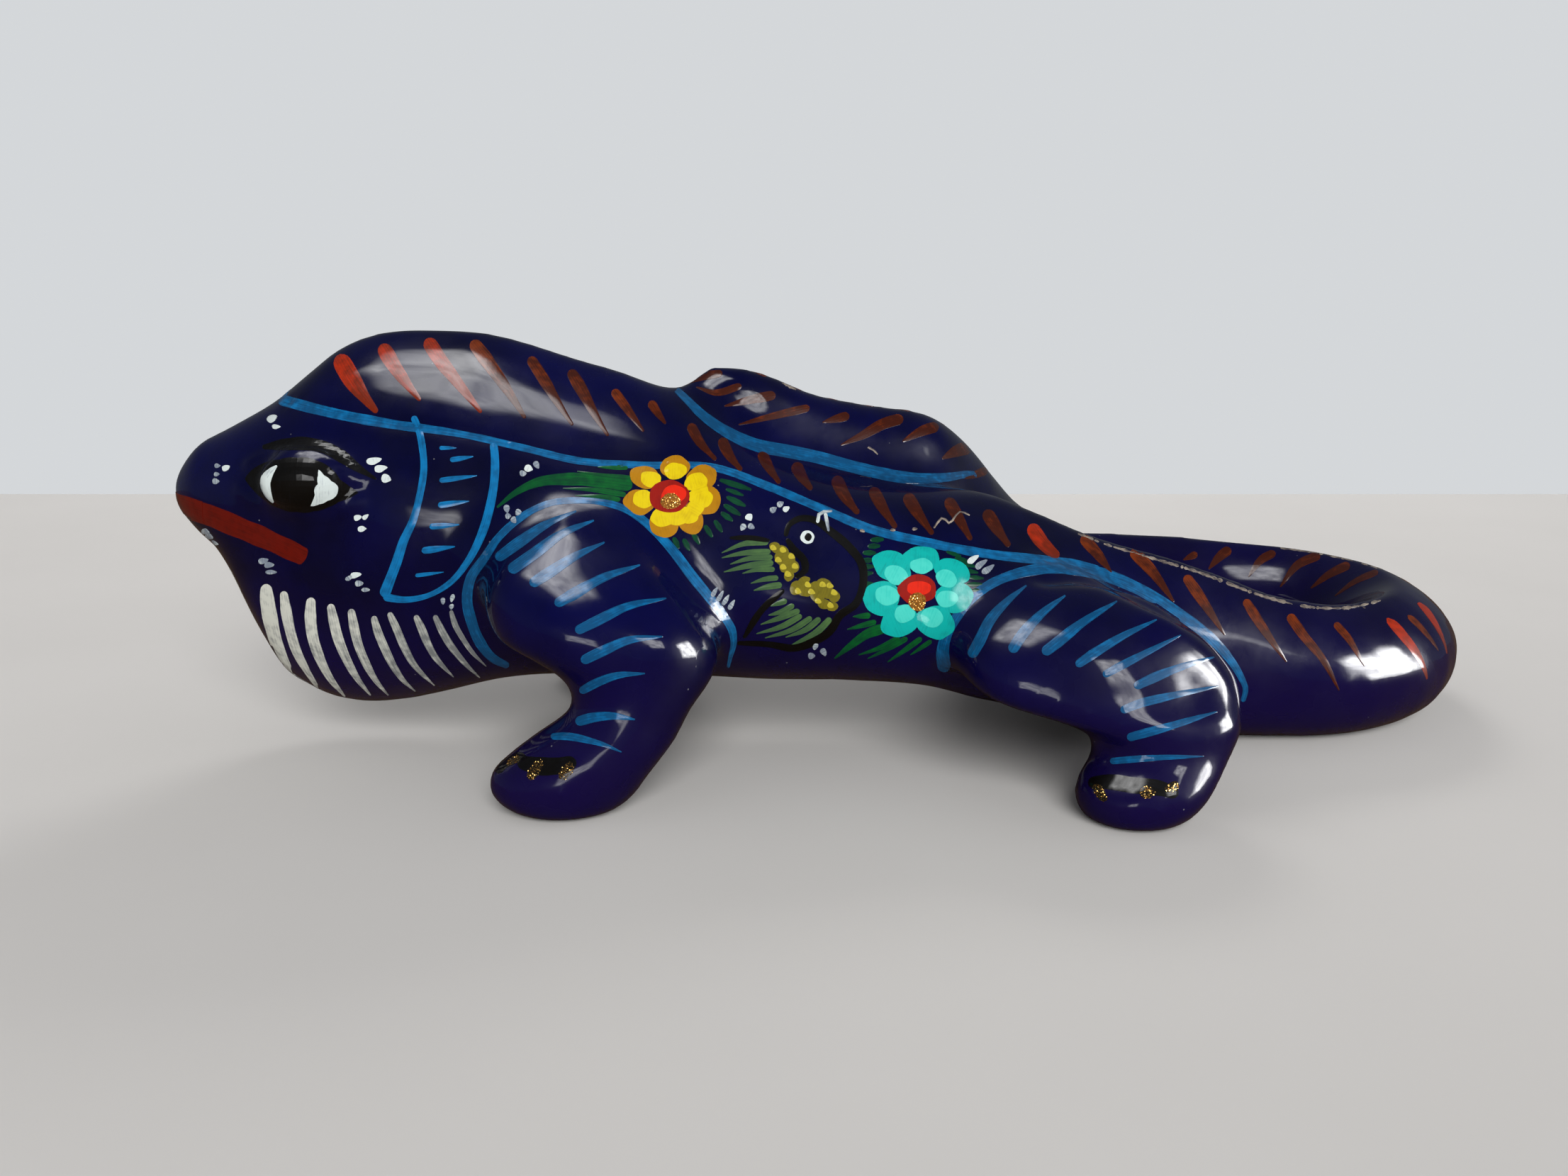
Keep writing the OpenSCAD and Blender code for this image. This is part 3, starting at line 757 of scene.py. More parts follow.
def brush_group():
    """Brushed paint: streaks along the pull, thinner where the brush runs dry."""
    tree, given, _ = new_group(
        "brush_pull", "ShaderNodeTree",
        {"Full": "Color", "Thin": "Color", "Cover": "Float"}, {"Colour": "Color", "Height": "Float"},
    )
    pull = add_node(tree, "ShaderNodeUVMap", uv_map="pull")
    hairs = add_node(tree, "ShaderNodeMapping", pull, Scale=(0.8, 22.0, 1.0))
    streaks = noise_on(tree, hairs, 1.0, 3.0)
    blots = noise_on(tree, own_place(tree), 420.0, 2.0)
    load = add_node(tree, "ShaderNodeAttribute", attribute_name="load").outputs["Fac"]
    worn = calculate(tree, "ADD", streaks, blots)
    paint_left = calculate(tree, "MULTIPLY", load, given["Cover"])
    thin = map_range(tree, calculate(tree, "SUBTRACT", worn, paint_left), 0.12, 0.62)
    colour = blend_colours(tree, thin, given["Full"], given["Thin"])
    add_node(tree, "NodeGroupOutput", Colour=colour, Height=streaks)
    return tree


brush_pull = brush_group()


def brushed(name, full, thin, cover=0.75):
    """Opaque brushed paint under varnish: its full colour, its thin colour and how well it covers."""
    material, tree, shader = varnished(name, smooth=0.30, dull=0.48)
    marks = add_node(tree, "ShaderNodeGroup", node_tree=brush_pull, Full=full, Thin=thin, Cover=cover)
    ridges = add_node(tree, "ShaderNodeBump", Strength=0.25, Distance=0.0002, Height=marks.outputs["Height"])
    film_bump = shader.inputs["Normal"].links[0].from_node
    feed(tree, film_bump.inputs["Normal"], ridges)
    feed(tree, shader.inputs["Base Color"], marks.outputs["Colour"])
    return material


blue_paint = brushed("sky_blue_paint", full=(0.003, 0.185, 0.46, 1), thin=(0.002, 0.075, 0.20, 1))
blue = new_sheet()
brush(blue, back_line, (16, 14, 10, 10, 10, 11, 12, 13, 13, 13), wet=0.7, dry=0.8, give=5)
brow_near = touch(brow_pixel)
brow_top = drop_on(brow_near.x - brow_lead, middle_y)
ribbon(blue, [brow_near, brow_top, other_side(brow_near)], brow_widths, count=30, blunt=True)
brush((blue, None), crease_line, (8, 13, 18, 18, 17, 17, 14, 9), wet=0.5, dry=0.6)
brush(blue, cheek_front, (9, 10, 10, 11, 14, 15), dry=1)
brush(blue, cheek_back, (11, 7, 9, 12, 12, 11), dry=1)
strokes(blue, cheek_dashes, dry=0.9)
paint_piece("blue_border_lines", blue, blue_paint)
blue_front = new_sheet()
brush(blue_front, shoulder_arc, (9, 15, 16, 13, 11, 10, 9, 9, 11, 13, 14, 14, 11, 4), wet=0.5, dry=0.8)
strokes(blue_front, front_leg_strokes, wet=0.55, dry=0.6)
paint_piece("blue_shoulder_lines", blue_front, blue_paint)
blue_hind = new_sheet()
haunch_widths = (20, 15, 14, 13, 15, 18, 18, 16, 16, 15, 11, 6)
brush((blue_hind, None), haunch_arc, haunch_widths, wet=0.6, dry=0.7, give=5)
far_arc = [skin.find_nearest(other_side(place) + far_haunch_shift) for place in line_places(haunch_arc)]
far_arc = [place for place, _, _, gap in far_arc if gap < far_arc_gap]
ribbon(blue_hind, far_arc, [haunch_line_width] * 3 + [haunch_line_width / 2], count=90)
strokes(blue_hind, hind_leg_strokes, shift=far_haunch_shift, wet=0.5, dry=0.6)
paint_piece("blue_haunch_lines", blue_hind, blue_paint)


# Orange and rust strokes
# Short leaning strokes along the crest, the back and the tail, each laid with a loaded brush and
# lifted off to a point. Bright orange where the brush was fresh, rust brown over the dark ground.
crest_strokes = [
    (28, 477, 501, 492, 528, 510, 555, 532, 582), (21, 538, 486, 554, 513, 573, 540, 593, 565),
    (21, 602, 478, 619, 505, 646, 540, 679, 582), (20, 666, 481, 692, 516, 719, 555, 741, 590),
    (17, 747, 504, 765, 532, 788, 570, 808, 600), (17, 804, 522, 821, 551, 840, 586, 858, 615),
    (14, 865, 550, 884, 576, 908, 609), (13, 917, 566, 928, 583, 939, 598),
]
fresh_strokes = 3
spine_strokes = [
    (15, 973, 598, 986, 622, 1010, 649), (16, 1017, 618, 1028, 641, 1046, 664),
    (16, 1073, 637, 1085, 660, 1100, 682), (19, 1121, 653, 1132, 674, 1145, 691),
    (19, 1178, 672, 1190, 697, 1211, 725), (18, 1230, 688, 1245, 716, 1264, 745),
    (18, 1278, 697, 1294, 723, 1316, 754), (18, 1336, 703, 1350, 727, 1370, 762),
    (19, 1390, 720, 1405, 744, 1424, 771),
]
haunch_stroke = (21, 1453, 740, 1469, 764, 1493, 787)
tail_strokes = [
    (17, 1526, 757, 1546, 779, 1568, 808), (17, 1596, 776, 1620, 800, 1656, 849),
    (16, 1672, 812, 1696, 847, 1728, 896), (14, 1756, 846, 1781, 885, 1815, 934),
    (14, 1818, 867, 1840, 898, 1866, 930, 1889, 974), (11, 1883, 879, 1900, 898, 1925, 940),
]
loop_strokes = [
    (0.0047, (1957, 872), (1980, 898), (2000, 925), (2013, 958)),
    (0.0038, (1986, 868), (2000, 881), (2015, 898), (2029, 918)),
    (0.0052, (2003, 850), (2017, 868), (2030, 890), (2041, 922)),
]
inner_strokes = [
    (11, 1689, 781, 1669, 790), (14, 1736, 774, 1722, 784, 1705, 803),
    (13, 1799, 779, 1779, 790, 1761, 814), (13, 1862, 783, 1832, 796, 1806, 828),
    (13, 1904, 796, 1874, 811, 1849, 830), (9, 1944, 806, 1912, 820, 1883, 841),
]
lap_strokes = [
    (12, 1019, 526, 985, 533, 954, 544), (11, 1046, 544, 1008, 554, 982, 546),
    (14, 1094, 557, 1063, 563, 1022, 573), (12, 1142, 575, 1090, 587, 1042, 599),
    (13, 1198, 586, 1160, 596), (16, 1274, 590, 1246, 598, 1219, 613, 1186, 628),
    (16, 1324, 601, 1301, 608, 1273, 623), (19, 1370, 630, 1350, 636, 1329, 647),
    (13, 1393, 663, 1361, 675),
]
orange_paint = brushed(
    "bright_orange_paint", full=(0.48, 0.026, 0.0015, 1), thin=(0.18, 0.016, 0.002, 1), cover=0.8
)
rust_paint = brushed("rust_paint", full=(0.21, 0.032, 0.002, 1), thin=(0.055, 0.008, 0.002, 1), cover=0.7)
orange, rusty = new_sheet(), new_sheet()
for place_in_row, stroke in enumerate(crest_strokes):
    sheet = orange if place_in_row < fresh_strokes else rusty
    strokes(sheet, [stroke], taper(0.25), wet=1 - 0.17 * (place_in_row % 3))
strokes(rusty, spine_strokes, taper(0.4), wet=0.55)
strokes((orange, None), [haunch_stroke], (0.8, 1, 0.8, 0.6))
strokes((rusty, None), tail_strokes, wet=1.1)
strokes((rusty, None), inner_strokes + lap_strokes, wet=0.55)
for sheet, (width, *path) in zip((orange, rusty, orange), loop_strokes):
    ribbon(sheet, [touch(pixel) for pixel in path], [width * share for share in taper()])

# The same strokes go on round the outside of the tail, up its climb and along the far side of its end
loop_middle = Vector((0.12791, 0.02822, 0))
loop_radius = 0.049
loop_first, loop_turn = math.radians(-6), math.radians(25.7)
run_start, run_gap, run_bend = 0.006, 0.021, 0.0012
climb_start, climb_end = Vector((0.0749, 0.0713, 0)), Vector((0.0384, 0.0410, 0))
climb_shares = (0.12, 0.45, 0.8)
lap_ridge = (1010, 523, 1100, 548, 1190, 572, 1280, 586, 1340, 605, 1380, 640)
lap_outside, lap_course = Vector((0, 0.85, 0)), Vector((-0.8, 0, 0))
stroke_drop = (0.004, 0.008, 0.0115, 0.0145)
stroke_lean = (0.0, 0.003, 0.007, 0.011)
stroke_width = 0.0034


def far_stroke(spots, shares=(1, 1.05, 0.8, 0.15)):
    """One rust stroke over spots in plan."""
    stations = [drop_on(spot.x, spot.y) for spot in spots]
    ribbon(rusty, stations, [stroke_width * share for share in shares])


def down_side(ridge, outside, course):
    """Spots in plan from a ridge down its outer side, leaning along its course."""
    return [ridge + outside * out + course * lean for out, lean in zip(stroke_drop, stroke_lean)]


for turn in range(4):
    spots = []
    for out, lean in zip(stroke_drop, stroke_lean):
        bearing = loop_first + loop_turn * turn + lean / loop_radius
        spots.append(loop_middle + Vector((math.cos(bearing), math.sin(bearing), 0)) * (loop_radius + out))
    far_stroke(spots)
for turn in range(3):
    ridge = loop_middle + Vector((-run_start - turn * run_gap, loop_radius - run_bend * turn**2, 0))
    far_stroke(down_side(ridge, Vector((0, 1, 0)), Vector((-1, 0, 0))))
course = (climb_end - climb_start).normalized()
for share in climb_shares:
    ridge = climb_start.lerp(climb_end, share)
    far_stroke(down_side(ridge, Vector((course.y, -course.x, 0)), course))
ridge_pixels, _ = curve_through(lap_ridge, np.linspace(0.18, 0.98, 7))
for ridge in filter(None, map(touch, ridge_pixels)):
    far_stroke(down_side(ridge, lap_outside, lap_course), (0.9, 1.0, 0.8, 0.15))
paint_piece("orange_strokes", orange, orange_paint)
paint_piece("rust_strokes", rusty, rust_paint)


# Throat stripes
# Greyish white stripes round the throat, each pulled down and back to a point with a flat brush, ten on
# each side and a few across the front. The ground shows through the thin paint.
throat_stripes = [
    (21, 375, 824, 377, 846, 382, 876, 391, 910, 404, 939, 421, 965),
    (15, 400, 834, 403, 857, 409, 888, 419, 920, 434, 948, 454, 978),
    (16, 439, 843, 438, 866, 441, 897, 451, 928, 466, 957, 487, 983),
    (14, 466, 852, 470, 872, 476, 897, 489, 930, 504, 957, 523, 981),
    (13, 495, 859, 499, 882, 505, 908, 516, 935, 531, 961, 548, 981),
    (12, 527, 869, 532, 888, 543, 915, 557, 943, 571, 962, 586, 975),
    (11, 549, 864, 559, 886, 570, 912, 583, 936, 598, 953, 613, 967),
    (11, 586, 868, 594, 885, 603, 907, 614, 927, 626, 941, 640, 955),
    (10, 613, 868, 621, 885, 632, 905, 646, 924, 660, 940, 677, 956),
    (8, 636, 861, 642, 881, 653, 901, 667, 921, 686, 940),
]
front_stripes = (-0.0145, -0.0072, 0.0, 0.0072, 0.0145)
front_stripe_heights = np.linspace(0.0525, 0.0155, 8)
front_stripes_draw_in = np.linspace(1, 0.38, 8)
front_stripe_width = 0.0032
stripe_shape = np.array((0.7, 1.0, 1.0, 0.92, 0.78, 0.5, 0.12))
before_snout = cad_box[0][0] - 0.05
throat_paint = brushed(
    "throat_white_paint", full=(0.70, 0.71, 0.63, 1), thin=(0.22, 0.23, 0.23, 1), cover=0.85
)


def from_front(y, z):
    """Foremost place on the clay at a width and a height, if there is one."""
    return skin.ray_cast(Vector((before_snout, y, z)), Vector((1, 0, 0)))[0]


throat = new_sheet()
for place_in_row, stripe in enumerate(throat_stripes):
    wet, dry = 1.1 - 0.07 * place_in_row, 0.9 - 0.05 * place_in_row
    strokes(throat, [stripe], stripe_shape, wet=wet, dry=dry)
for aside in front_stripes:
    stations = map(from_front, middle_y + aside * front_stripes_draw_in, front_stripe_heights)
    ribbon(throat, list(filter(None, stations)), front_stripe_width * stripe_shape)
paint_piece("throat_stripes", throat, throat_paint)


# White dots
# Groups of three and four small dabs of thick white, put on with the tip of the brush handle or a
# fine brush, each standing a little proud under the varnish.
full_dots = [
    (384, 590, 8, 5, -30), (390, 602, 6, 3, 0), (319, 660, 6, 4, -25), (528, 650, 11, 5, -15),
    (537, 661, 9, 5, -10), (545, 675, 7, 6, 15), (505, 730, 6, 4, -15), (516, 729, 5, 3, -40),
    (511, 746, 6, 4, 0), (502, 811, 8, 4, -10), (746, 661, 6, 5, 20), (1057, 730, 5, 5, 60),
    (1109, 718, 5, 4, -30), (1373, 789, 10, 4, -35),
]
thin_dots = [
    (307, 657, 4, 3, 0), (306, 669, 4, 3, 0), (305, 679, 5, 4, 0), (290, 750, 6, 4, 20),
    (295, 757, 6, 4, 20), (302, 766, 6, 3, 20), (372, 791, 7, 4, -10), (380, 797, 7, 4, 0),
    (383, 807, 8, 3, 0), (493, 815, 6, 3, -35), (507, 823, 6, 4, 0), (516, 832, 6, 3, 0),
    (625, 848, 5, 3, 90), (638, 844, 6, 3, 105), (637, 856, 4, 3, 90), (715, 718, 6, 4, 80),
    (717, 728, 4, 4, 0), (725, 734, 5, 4, 60), (731, 723, 5, 4, 120), (738, 668, 5, 4, 0),
    (757, 656, 6, 4, 60), (1048, 744, 5, 4, 120), (1060, 743, 5, 4, 30), (1091, 719, 5, 4, -30),
    (1101, 711, 5, 4, -30), (1384, 796, 10, 4, -35), (1394, 803, 10, 4, -35), (1150, 911, 6, 4, 100),
    (1145, 925, 5, 4, 0), (1162, 920, 6, 4, 60), (1008, 835, 8, 3, -60), (1016, 841, 9, 3, -60),
    (1024, 846, 9, 3, -58), (1032, 853, 8, 3, -58),
]
ragged_edge, ragged_scale = 0.14, 1.3


def round_grid(count):
    """Square grid drawn onto a disc: its two coordinates and its crown."""
    a, b = np.meshgrid(np.linspace(-1, 1, count), np.linspace(-1, 1, count))
    x, y = a * np.sqrt(1 - b**2 / 2), b * np.sqrt(1 - a**2 / 2)
    return x, y, np.clip(1 - np.hypot(x, y) ** 2.5, 0, 1)


def dab(sheets, u, v, half_length, half_width, turn, layer=0, wet=1.0, drawn=0.0, shift=Vector()):
    """One dab of paint round a pixel, oval or drawn out to a point."""
    x, y, crown = round_grid(5 if half_length < 9 else 9 if half_length < 30 else 15)
    spots = zip(u + ragged_scale * x.ravel(), v + ragged_scale * y.ravel())
    ragged = [1 + ragged_edge * noise.noise(Vector((*spot, 0.5))) for spot in spots]
    ragged = np.array(ragged).reshape(x.shape)
    cos, sin = math.cos(math.radians(turn)), math.sin(math.radians(turn))
    right, down = x * half_length * ragged, y * half_width * ragged * (1 - drawn * x)
    pixels = np.stack([u + right * cos - down * sin, v + right * sin + down * cos], axis=-1)
    lay(sheets, pixels, crown, np.full_like(crown, wet), layer, shift)


def dabs(sheets, rows, **how):
    """Dabs of paint, each row a pixel, half a length, half a width and a turn."""
    for row in rows:
        dab(sheets, *row, **how)


white_paint = brushed("dot_white_paint", full=(0.74, 0.82, 0.80, 1), thin=(0.22, 0.26, 0.32, 1), cover=0.95)
dots = new_sheet()
dabs(dots, full_dots, layer=1, wet=1.0, drawn=0.4)
dabs(dots, thin_dots, layer=1, wet=0.5, drawn=0.4)
paint_piece("white_dots", dots, white_paint)


# Mouth
# One broad band of dark red round the snout, from cheek to cheek, with blunt ends. It was drawn with
# a flat brush, once along each cheek and once across the front.
mouth_line = (256, 711, 272, 719, 296, 727, 332, 742, 368, 757, 403, 773, 432, 787)
lip_end_pixel, lip_turn_pixel = (286, 723), (268, 716)
lip_width = 0.0062
mouth_paint = brushed(
    "mouth_red_paint", full=(0.135, 0.0050, 0.0015, 1), thin=(0.080, 0.0035, 0.0015, 1), cover=0.8
)
mouth = new_sheet()
brush(mouth, mouth_line, (28, 29, 30, 29, 28, 26), dry=1, lift_off=0.4)
lip_end, lip_turn = touch(lip_end_pixel), touch(lip_turn_pixel)
half_lip = lip_turn.y - middle_y
lip = [from_front(middle_y + share * half_lip, lip_turn.z) for share in np.linspace(1, -1, 9)]
ribbon(mouth, [lip_end, *lip, other_side(lip_end)], [lip_width] * 3, layer=2, count=44, blunt=True)
paint_piece("mouth_band", mouth, mouth_paint)


# Eyes
# A pinched clay almond on each side of the head, painted glossy black, with two white corners left
# and right of the round pupil and a black brow stroke over the lid.
eye_outline = (
    345, 675, 354, 664, 368, 655, 393, 649, 420, 646, 447, 650, 466, 660, 480, 677, 494, 687, 506, 695,
    494, 702, 478, 708, 462, 716, 443, 721, 420, 722, 395, 717, 375, 706, 358, 692,
)
white_front = (391, 657, 381, 667, 375, 678, 376, 690, 380, 700, 386, 709)
white_back = (
    447, 661, 457, 671, 467, 679, 477, 687, 475, 698, 462, 706, 450, 711, 438, 714, 445, 699, 449, 683,
    449, 670,
)
brow_stroke = (370, 631, 403, 627, 432, 626, 457, 631, 479, 642, 503, 659, 531, 676)


def filled(sheets, outline, count, layer=0):
    """One patch of paint inside an outline of pixels."""
    edge = np.array(outline, float).reshape(-1, 2)
    centre = edge.mean(axis=0)
    arms = edge - centre
    bearing = np.arctan2(arms[:, 1], arms[:, 0])
    order = np.argsort(bearing)
    x, y, crown = round_grid(count)
    lengths = np.linalg.norm(arms, axis=1)[order]
    reach = np.interp(np.arctan2(y, x), bearing[order], lengths, period=2 * math.pi)
    pixels = np.stack([centre[0] + x * reach, centre[1] + y * reach], axis=-1)
    lay(sheets, pixels, crown, np.ones_like(crown), layer, Vector())


black_paint = brushed(
    "eye_black_paint", full=(0.0030, 0.0026, 0.0020, 1), thin=(0.0045, 0.0045, 0.0060, 1), cover=0.9
)
for node in eye_nodes:
    black = new_sheet()
    sides = (black, None) if node == "left_eye" else (None, black)
    filled(sides, eye_outline, count=25)
    brush(sides, brow_stroke, (6, 16, 19, 18, 18, 11, 3), dry=0.7)
    eye = paint_piece("painted_" + node, black, black_paint)
    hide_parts(node)
whites = new_sheet()
brush(whites, white_front, (2, 10, 15, 14, 9, 2), layer=2, dry=1)
filled(whites, white_back, count=13, layer=2)
paint_piece("eye_whites", whites, white_paint)


# Flower leaves
# Green leaves and short dark green dabs round the two flowers, in thin paint on the dark ground. Each is
# one press and pull of a pointed brush.
leaf_strokes = [
    (20, 892, 685, 851, 679, 802, 676, 760, 680, 729, 694, 701, 716), (8, 886, 659, 843, 659),
    (8, 892, 675, 850, 671, 814, 665), (8, 883, 698, 836, 691, 794, 689), (7, 875, 705, 851, 701, 811, 699),
    (14, 1255, 884, 1224, 894, 1201, 910, 1177, 929), (9, 1228, 868, 1203, 870), (8, 1236, 877, 1195, 888),
    (8, 1269, 899, 1243, 913, 1211, 924), (8, 1280, 900, 1251, 916, 1224, 929),
    (8, 1300, 900, 1278, 916, 1252, 934), (7, 1314, 904, 1284, 924),
]
leaf_dabs = [
    (10, 1015, 677, 1060, 691), (8, 1024, 690, 1049, 699), (10, 1025, 701, 1052, 714),
    (10, 1021, 712, 1045, 727), (10, 1017, 723, 1034, 735), (10, 1008, 734, 1019, 751),
    (10, 994, 741, 1005, 758), (10, 976, 750, 987, 768), (10, 950, 758, 958, 774), (10, 964, 760, 973, 777),
    (10, 1228, 762, 1247, 761), (10, 1224, 771, 1242, 770), (10, 1217, 780, 1236, 780),
    (10, 1214, 791, 1234, 790), (10, 1214, 800, 1234, 799), (10, 1213, 810, 1232, 808),
    (10, 1213, 825, 1232, 823), (8, 1335, 778, 1356, 785), (8, 1347, 787, 1369, 793),
    (8, 1355, 794, 1377, 800), (8, 1358, 804, 1380, 808), (8, 1365, 814, 1388, 816),
    (8, 1363, 825, 1386, 824), (8, 1367, 834, 1388, 832),
]
leaf_paint = brushed(
    "leaf_green_paint", full=(0.001, 0.125, 0.020, 1), thin=(0.001, 0.060, 0.020, 1), cover=0.7
)
dark_leaf_paint = brushed(
    "dark_green_paint", full=(0.001, 0.070, 0.024, 1), thin=(0.001, 0.034, 0.018, 1), cover=0.7
)
leaves, leaf_tips = new_sheet(), new_sheet()
strokes(leaves, leaf_strokes, dry=0.6)
strokes(leaf_tips, leaf_dabs, (0.45, 0.85, 0.8, 0.3), dry=0.8)
paint_piece("leaf_strokes", leaves, leaf_paint)
paint_piece("leaf_dabs", leaf_tips, dark_leaf_paint)


# Flowers
# Two seven-petalled flowers on each flank: round petals pressed on with a full brush, a paler touch
# on each, a red heart in two coats and a pinch of gold glitter stuck in the wet varnish.
yellow_petals = [
    (909, 673, 21, 15, 15), (952, 659, 21, 16, 0), (989, 674, 22, 17, -20), (997, 706, 20, 21, 0),
    (974, 735, 20, 17, 30), (938, 738, 22, 19, -15), (901, 708, 22, 18, 10), (988, 692, 16, 13, 80),
    (978, 719, 15, 12, -60), (955, 730, 15, 12, 0),
]
yellow_touches = [
    (918, 676, 15, 11, 15), (953, 665, 16, 12, 0), (982, 680, 17, 13, -20), (988, 703, 18, 13, 10),
    (970, 727, 16, 11, 30), (935, 729, 18, 14, -15), (908, 704, 15, 13, 0), (987, 691, 14, 11, 70),
    (981, 717, 14, 11, -60), (953, 731, 15, 11, 5),
]
turquoise_petals = [
    (1300, 789, 27, 18, 0), (1258, 800, 29, 21, 25), (1342, 807, 26, 19, 25), (1346, 843, 27, 21, -10),
    (1243, 843, 26, 24, 0), (1269, 876, 27, 22, -25), (1320, 879, 27, 23, 20),
]
turquoise_touches = [
    (1300, 798, 16, 11, 0), (1264, 811, 18, 13, 25), (1335, 816, 16, 12, 25), (1336, 845, 15, 12, 0),
    (1252, 840, 17, 14, 0), (1276, 865, 15, 13, -25), (1314, 871, 16, 14, 20),
]
dark_hearts = [(945, 701, 28, 24, 0), (1294, 832, 28, 21, 0)]
bright_hearts = [(950, 698, 17, 13, -15), (1296, 830, 17, 10, 0)]
heart_glitter = [(946, 707, 14, 11, 0), (1294, 849, 12, 13, 0)]
flower_coats = [
    ("ochre_petals", yellow_petals, (0.48, 0.21, 0.003, 1), (0.36, 0.15, 0.003, 1), 1),
    ("yellow_touches", yellow_touches, (0.82, 0.62, 0.003, 1), (0.66, 0.44, 0.003, 1), 2),
    ("turquoise_petals", turquoise_petals, (0.002, 0.47, 0.42, 1), (0.002, 0.32, 0.30, 1), 1),
    ("pale_touches", turquoise_touches, (0.075, 0.70, 0.59, 1), (0.03, 0.60, 0.51, 1), 2),
    ("dark_hearts", dark_hearts, (0.33, 0.008, 0.003, 1), (0.20, 0.005, 0.003, 1), 3),
    ("bright_hearts", bright_hearts, (0.82, 0.020, 0.003, 1), (0.62, 0.016, 0.003, 1), 4),
]
for name, petals, full, thin, layer in flower_coats:
    petal_sheet = new_sheet()
    dabs(petal_sheet, petals, layer=layer)
    paint_piece(name, petal_sheet, brushed(name + "_paint", full, thin, cover=0.85))


# Bird
# A small perched bird between the flowers, in the plain manner of village ware: a black outline,
# olive feather strokes, two mustard bands with yellow dots and a white-ringed eye.
bird_lines = [
    (11, 1108, 757, 1113, 741, 1127, 732, 1147, 733, 1172, 750, 1198, 772, 1216, 797, 1217, 827, 1207, 852,
     1185, 868, 1171, 890, 1150, 904, 1121, 914, 1086, 909, 1040, 907),
    (9, 1106, 832, 1076, 859, 1049, 900), (10, 1110, 760, 1120, 776, 1134, 790, 1136, 804, 1122, 815),
    (7, 1086, 763, 1060, 759, 1029, 759),
]
feathers = [
    (9, 1084, 765, 1050, 767, 1018, 780), (9, 1087, 778, 1044, 781, 1018, 787),
    (9, 1090, 786, 1056, 788, 1030, 796), (10, 1091, 794, 1057, 798, 1021, 807),
    (8, 1093, 803, 1066, 804, 1047, 809), (8, 1098, 815, 1079, 817, 1059, 823),
    (9, 1103, 825, 1082, 828, 1063, 833), (9, 1110, 847, 1087, 855), (9, 1120, 853, 1105, 862, 1084, 868),
    (9, 1128, 861, 1105, 870, 1073, 881), (9, 1131, 868, 1102, 884, 1067, 894),
    (9, 1145, 871, 1118, 888, 1079, 900), (9, 1157, 872, 1137, 888, 1108, 899),
    (10, 1172, 872, 1153, 891, 1115, 911),
]
neck_dabs = [
    (1094, 773, 10, 7, 40), (1105, 778, 9, 7, 60), (1100, 788, 9, 7, 70), (1113, 788, 10, 8, 50),
    (1107, 799, 9, 8, 80), (1119, 799, 9, 8, 60), (1113, 811, 9, 7, 100),
]
wing_dabs = [
    (1124, 829, 11, 9, -60), (1134, 820, 9, 6, -30), (1136, 833, 11, 9, 10), (1149, 829, 10, 8, -20),
    (1162, 823, 11, 7, 10), (1153, 841, 11, 8, 30), (1167, 836, 12, 9, 20), (1177, 841, 9, 8, 60),
    (1163, 852, 10, 7, 10), (1175, 856, 8, 6, -20),
]
band_dots = [
    (1091, 773), (1105, 776), (1117, 785), (1098, 790), (1105, 800), (1122, 799), (1112, 810), (1126, 834),
    (1140, 825), (1145, 835), (1161, 825), (1171, 826), (1177, 836), (1154, 848), (1172, 854),
]
crest_mark = [(5, 1153, 738, 1156, 725, 1174, 721), (5, 1164, 724, 1169, 750)]
olive, mustard, lines, ring, dots = (new_sheet() for _ in range(5))
strokes(olive, feathers)
dabs(mustard, neck_dabs + wing_dabs)
strokes(lines, bird_lines, (0.6, 1, 1.1, 1, 1.1, 0.9, 0.5), layer=1, dry=1)
dabs(dots, [(*pixel, 5, 3.8, 25) for pixel in band_dots], layer=2, drawn=0.4)
dab(ring, 1139, 758, 10, 9.5, 0, layer=2)
dab(lines, 1140, 758, 5, 5.5, 0, layer=4)
strokes(ring, crest_mark, (1, 1, 0.6), layer=2)
olive_paint = brushed("olive_paint", full=(0.085, 0.180, 0.055, 1), thin=(0.052, 0.115, 0.045, 1), cover=0.7)
mustard_paint = brushed(
    "mustard_paint", full=(0.200, 0.165, 0.010, 1), thin=(0.13, 0.110, 0.008, 1), cover=0.8
)
yellow_paint = brushed(
    "yellow_dot_paint", full=(0.55, 0.46, 0.035, 1), thin=(0.36, 0.30, 0.03, 1), cover=0.9
)
paint_piece("bird_feathers", olive, olive_paint)
paint_piece("bird_bands", mustard, mustard_paint)
paint_piece("bird_outline", lines, black_paint)
paint_piece("bird_eye_ring", ring, white_paint)
paint_piece("bird_band_dots", dots, yellow_paint)


# Paw bands and glitter
# A black wavy band across each paw with drops of glue, into which gold glitter was shaken before
# the varnish, as in the hearts of the flowers.
front_band = [
    (17, 700, 1090, 709, 1078, 724, 1069, 742, 1069), (25, 730, 1074, 762, 1081, 790, 1080, 813, 1074),
]
hind_band = [(23, 1535, 1105, 1560, 1103, 1600, 1108, 1640, 1113, 1662, 1121)]
band_shape = (0.7, 1, 1, 0.7)
front_drops = [(755, 1086, 16, 8, -55), (799, 1088, 14, 8, -55), (724, 1073, 11, 5, -30)]
hind_drops = [(1552, 1118, 14, 7, 55), (1618, 1118, 11, 8, 0), (1653, 1110, 11, 7, -30)]
flake_gold, flake_brown = (0.80, 0.52, 0.16, 1), (0.50, 0.25, 0.06, 1)
flake_cell = (0.0004, 0.0004, 0.0004)
flake_slant, flake_turn = 0.45, 6.28
flakes_per_m2 = 6.5e6
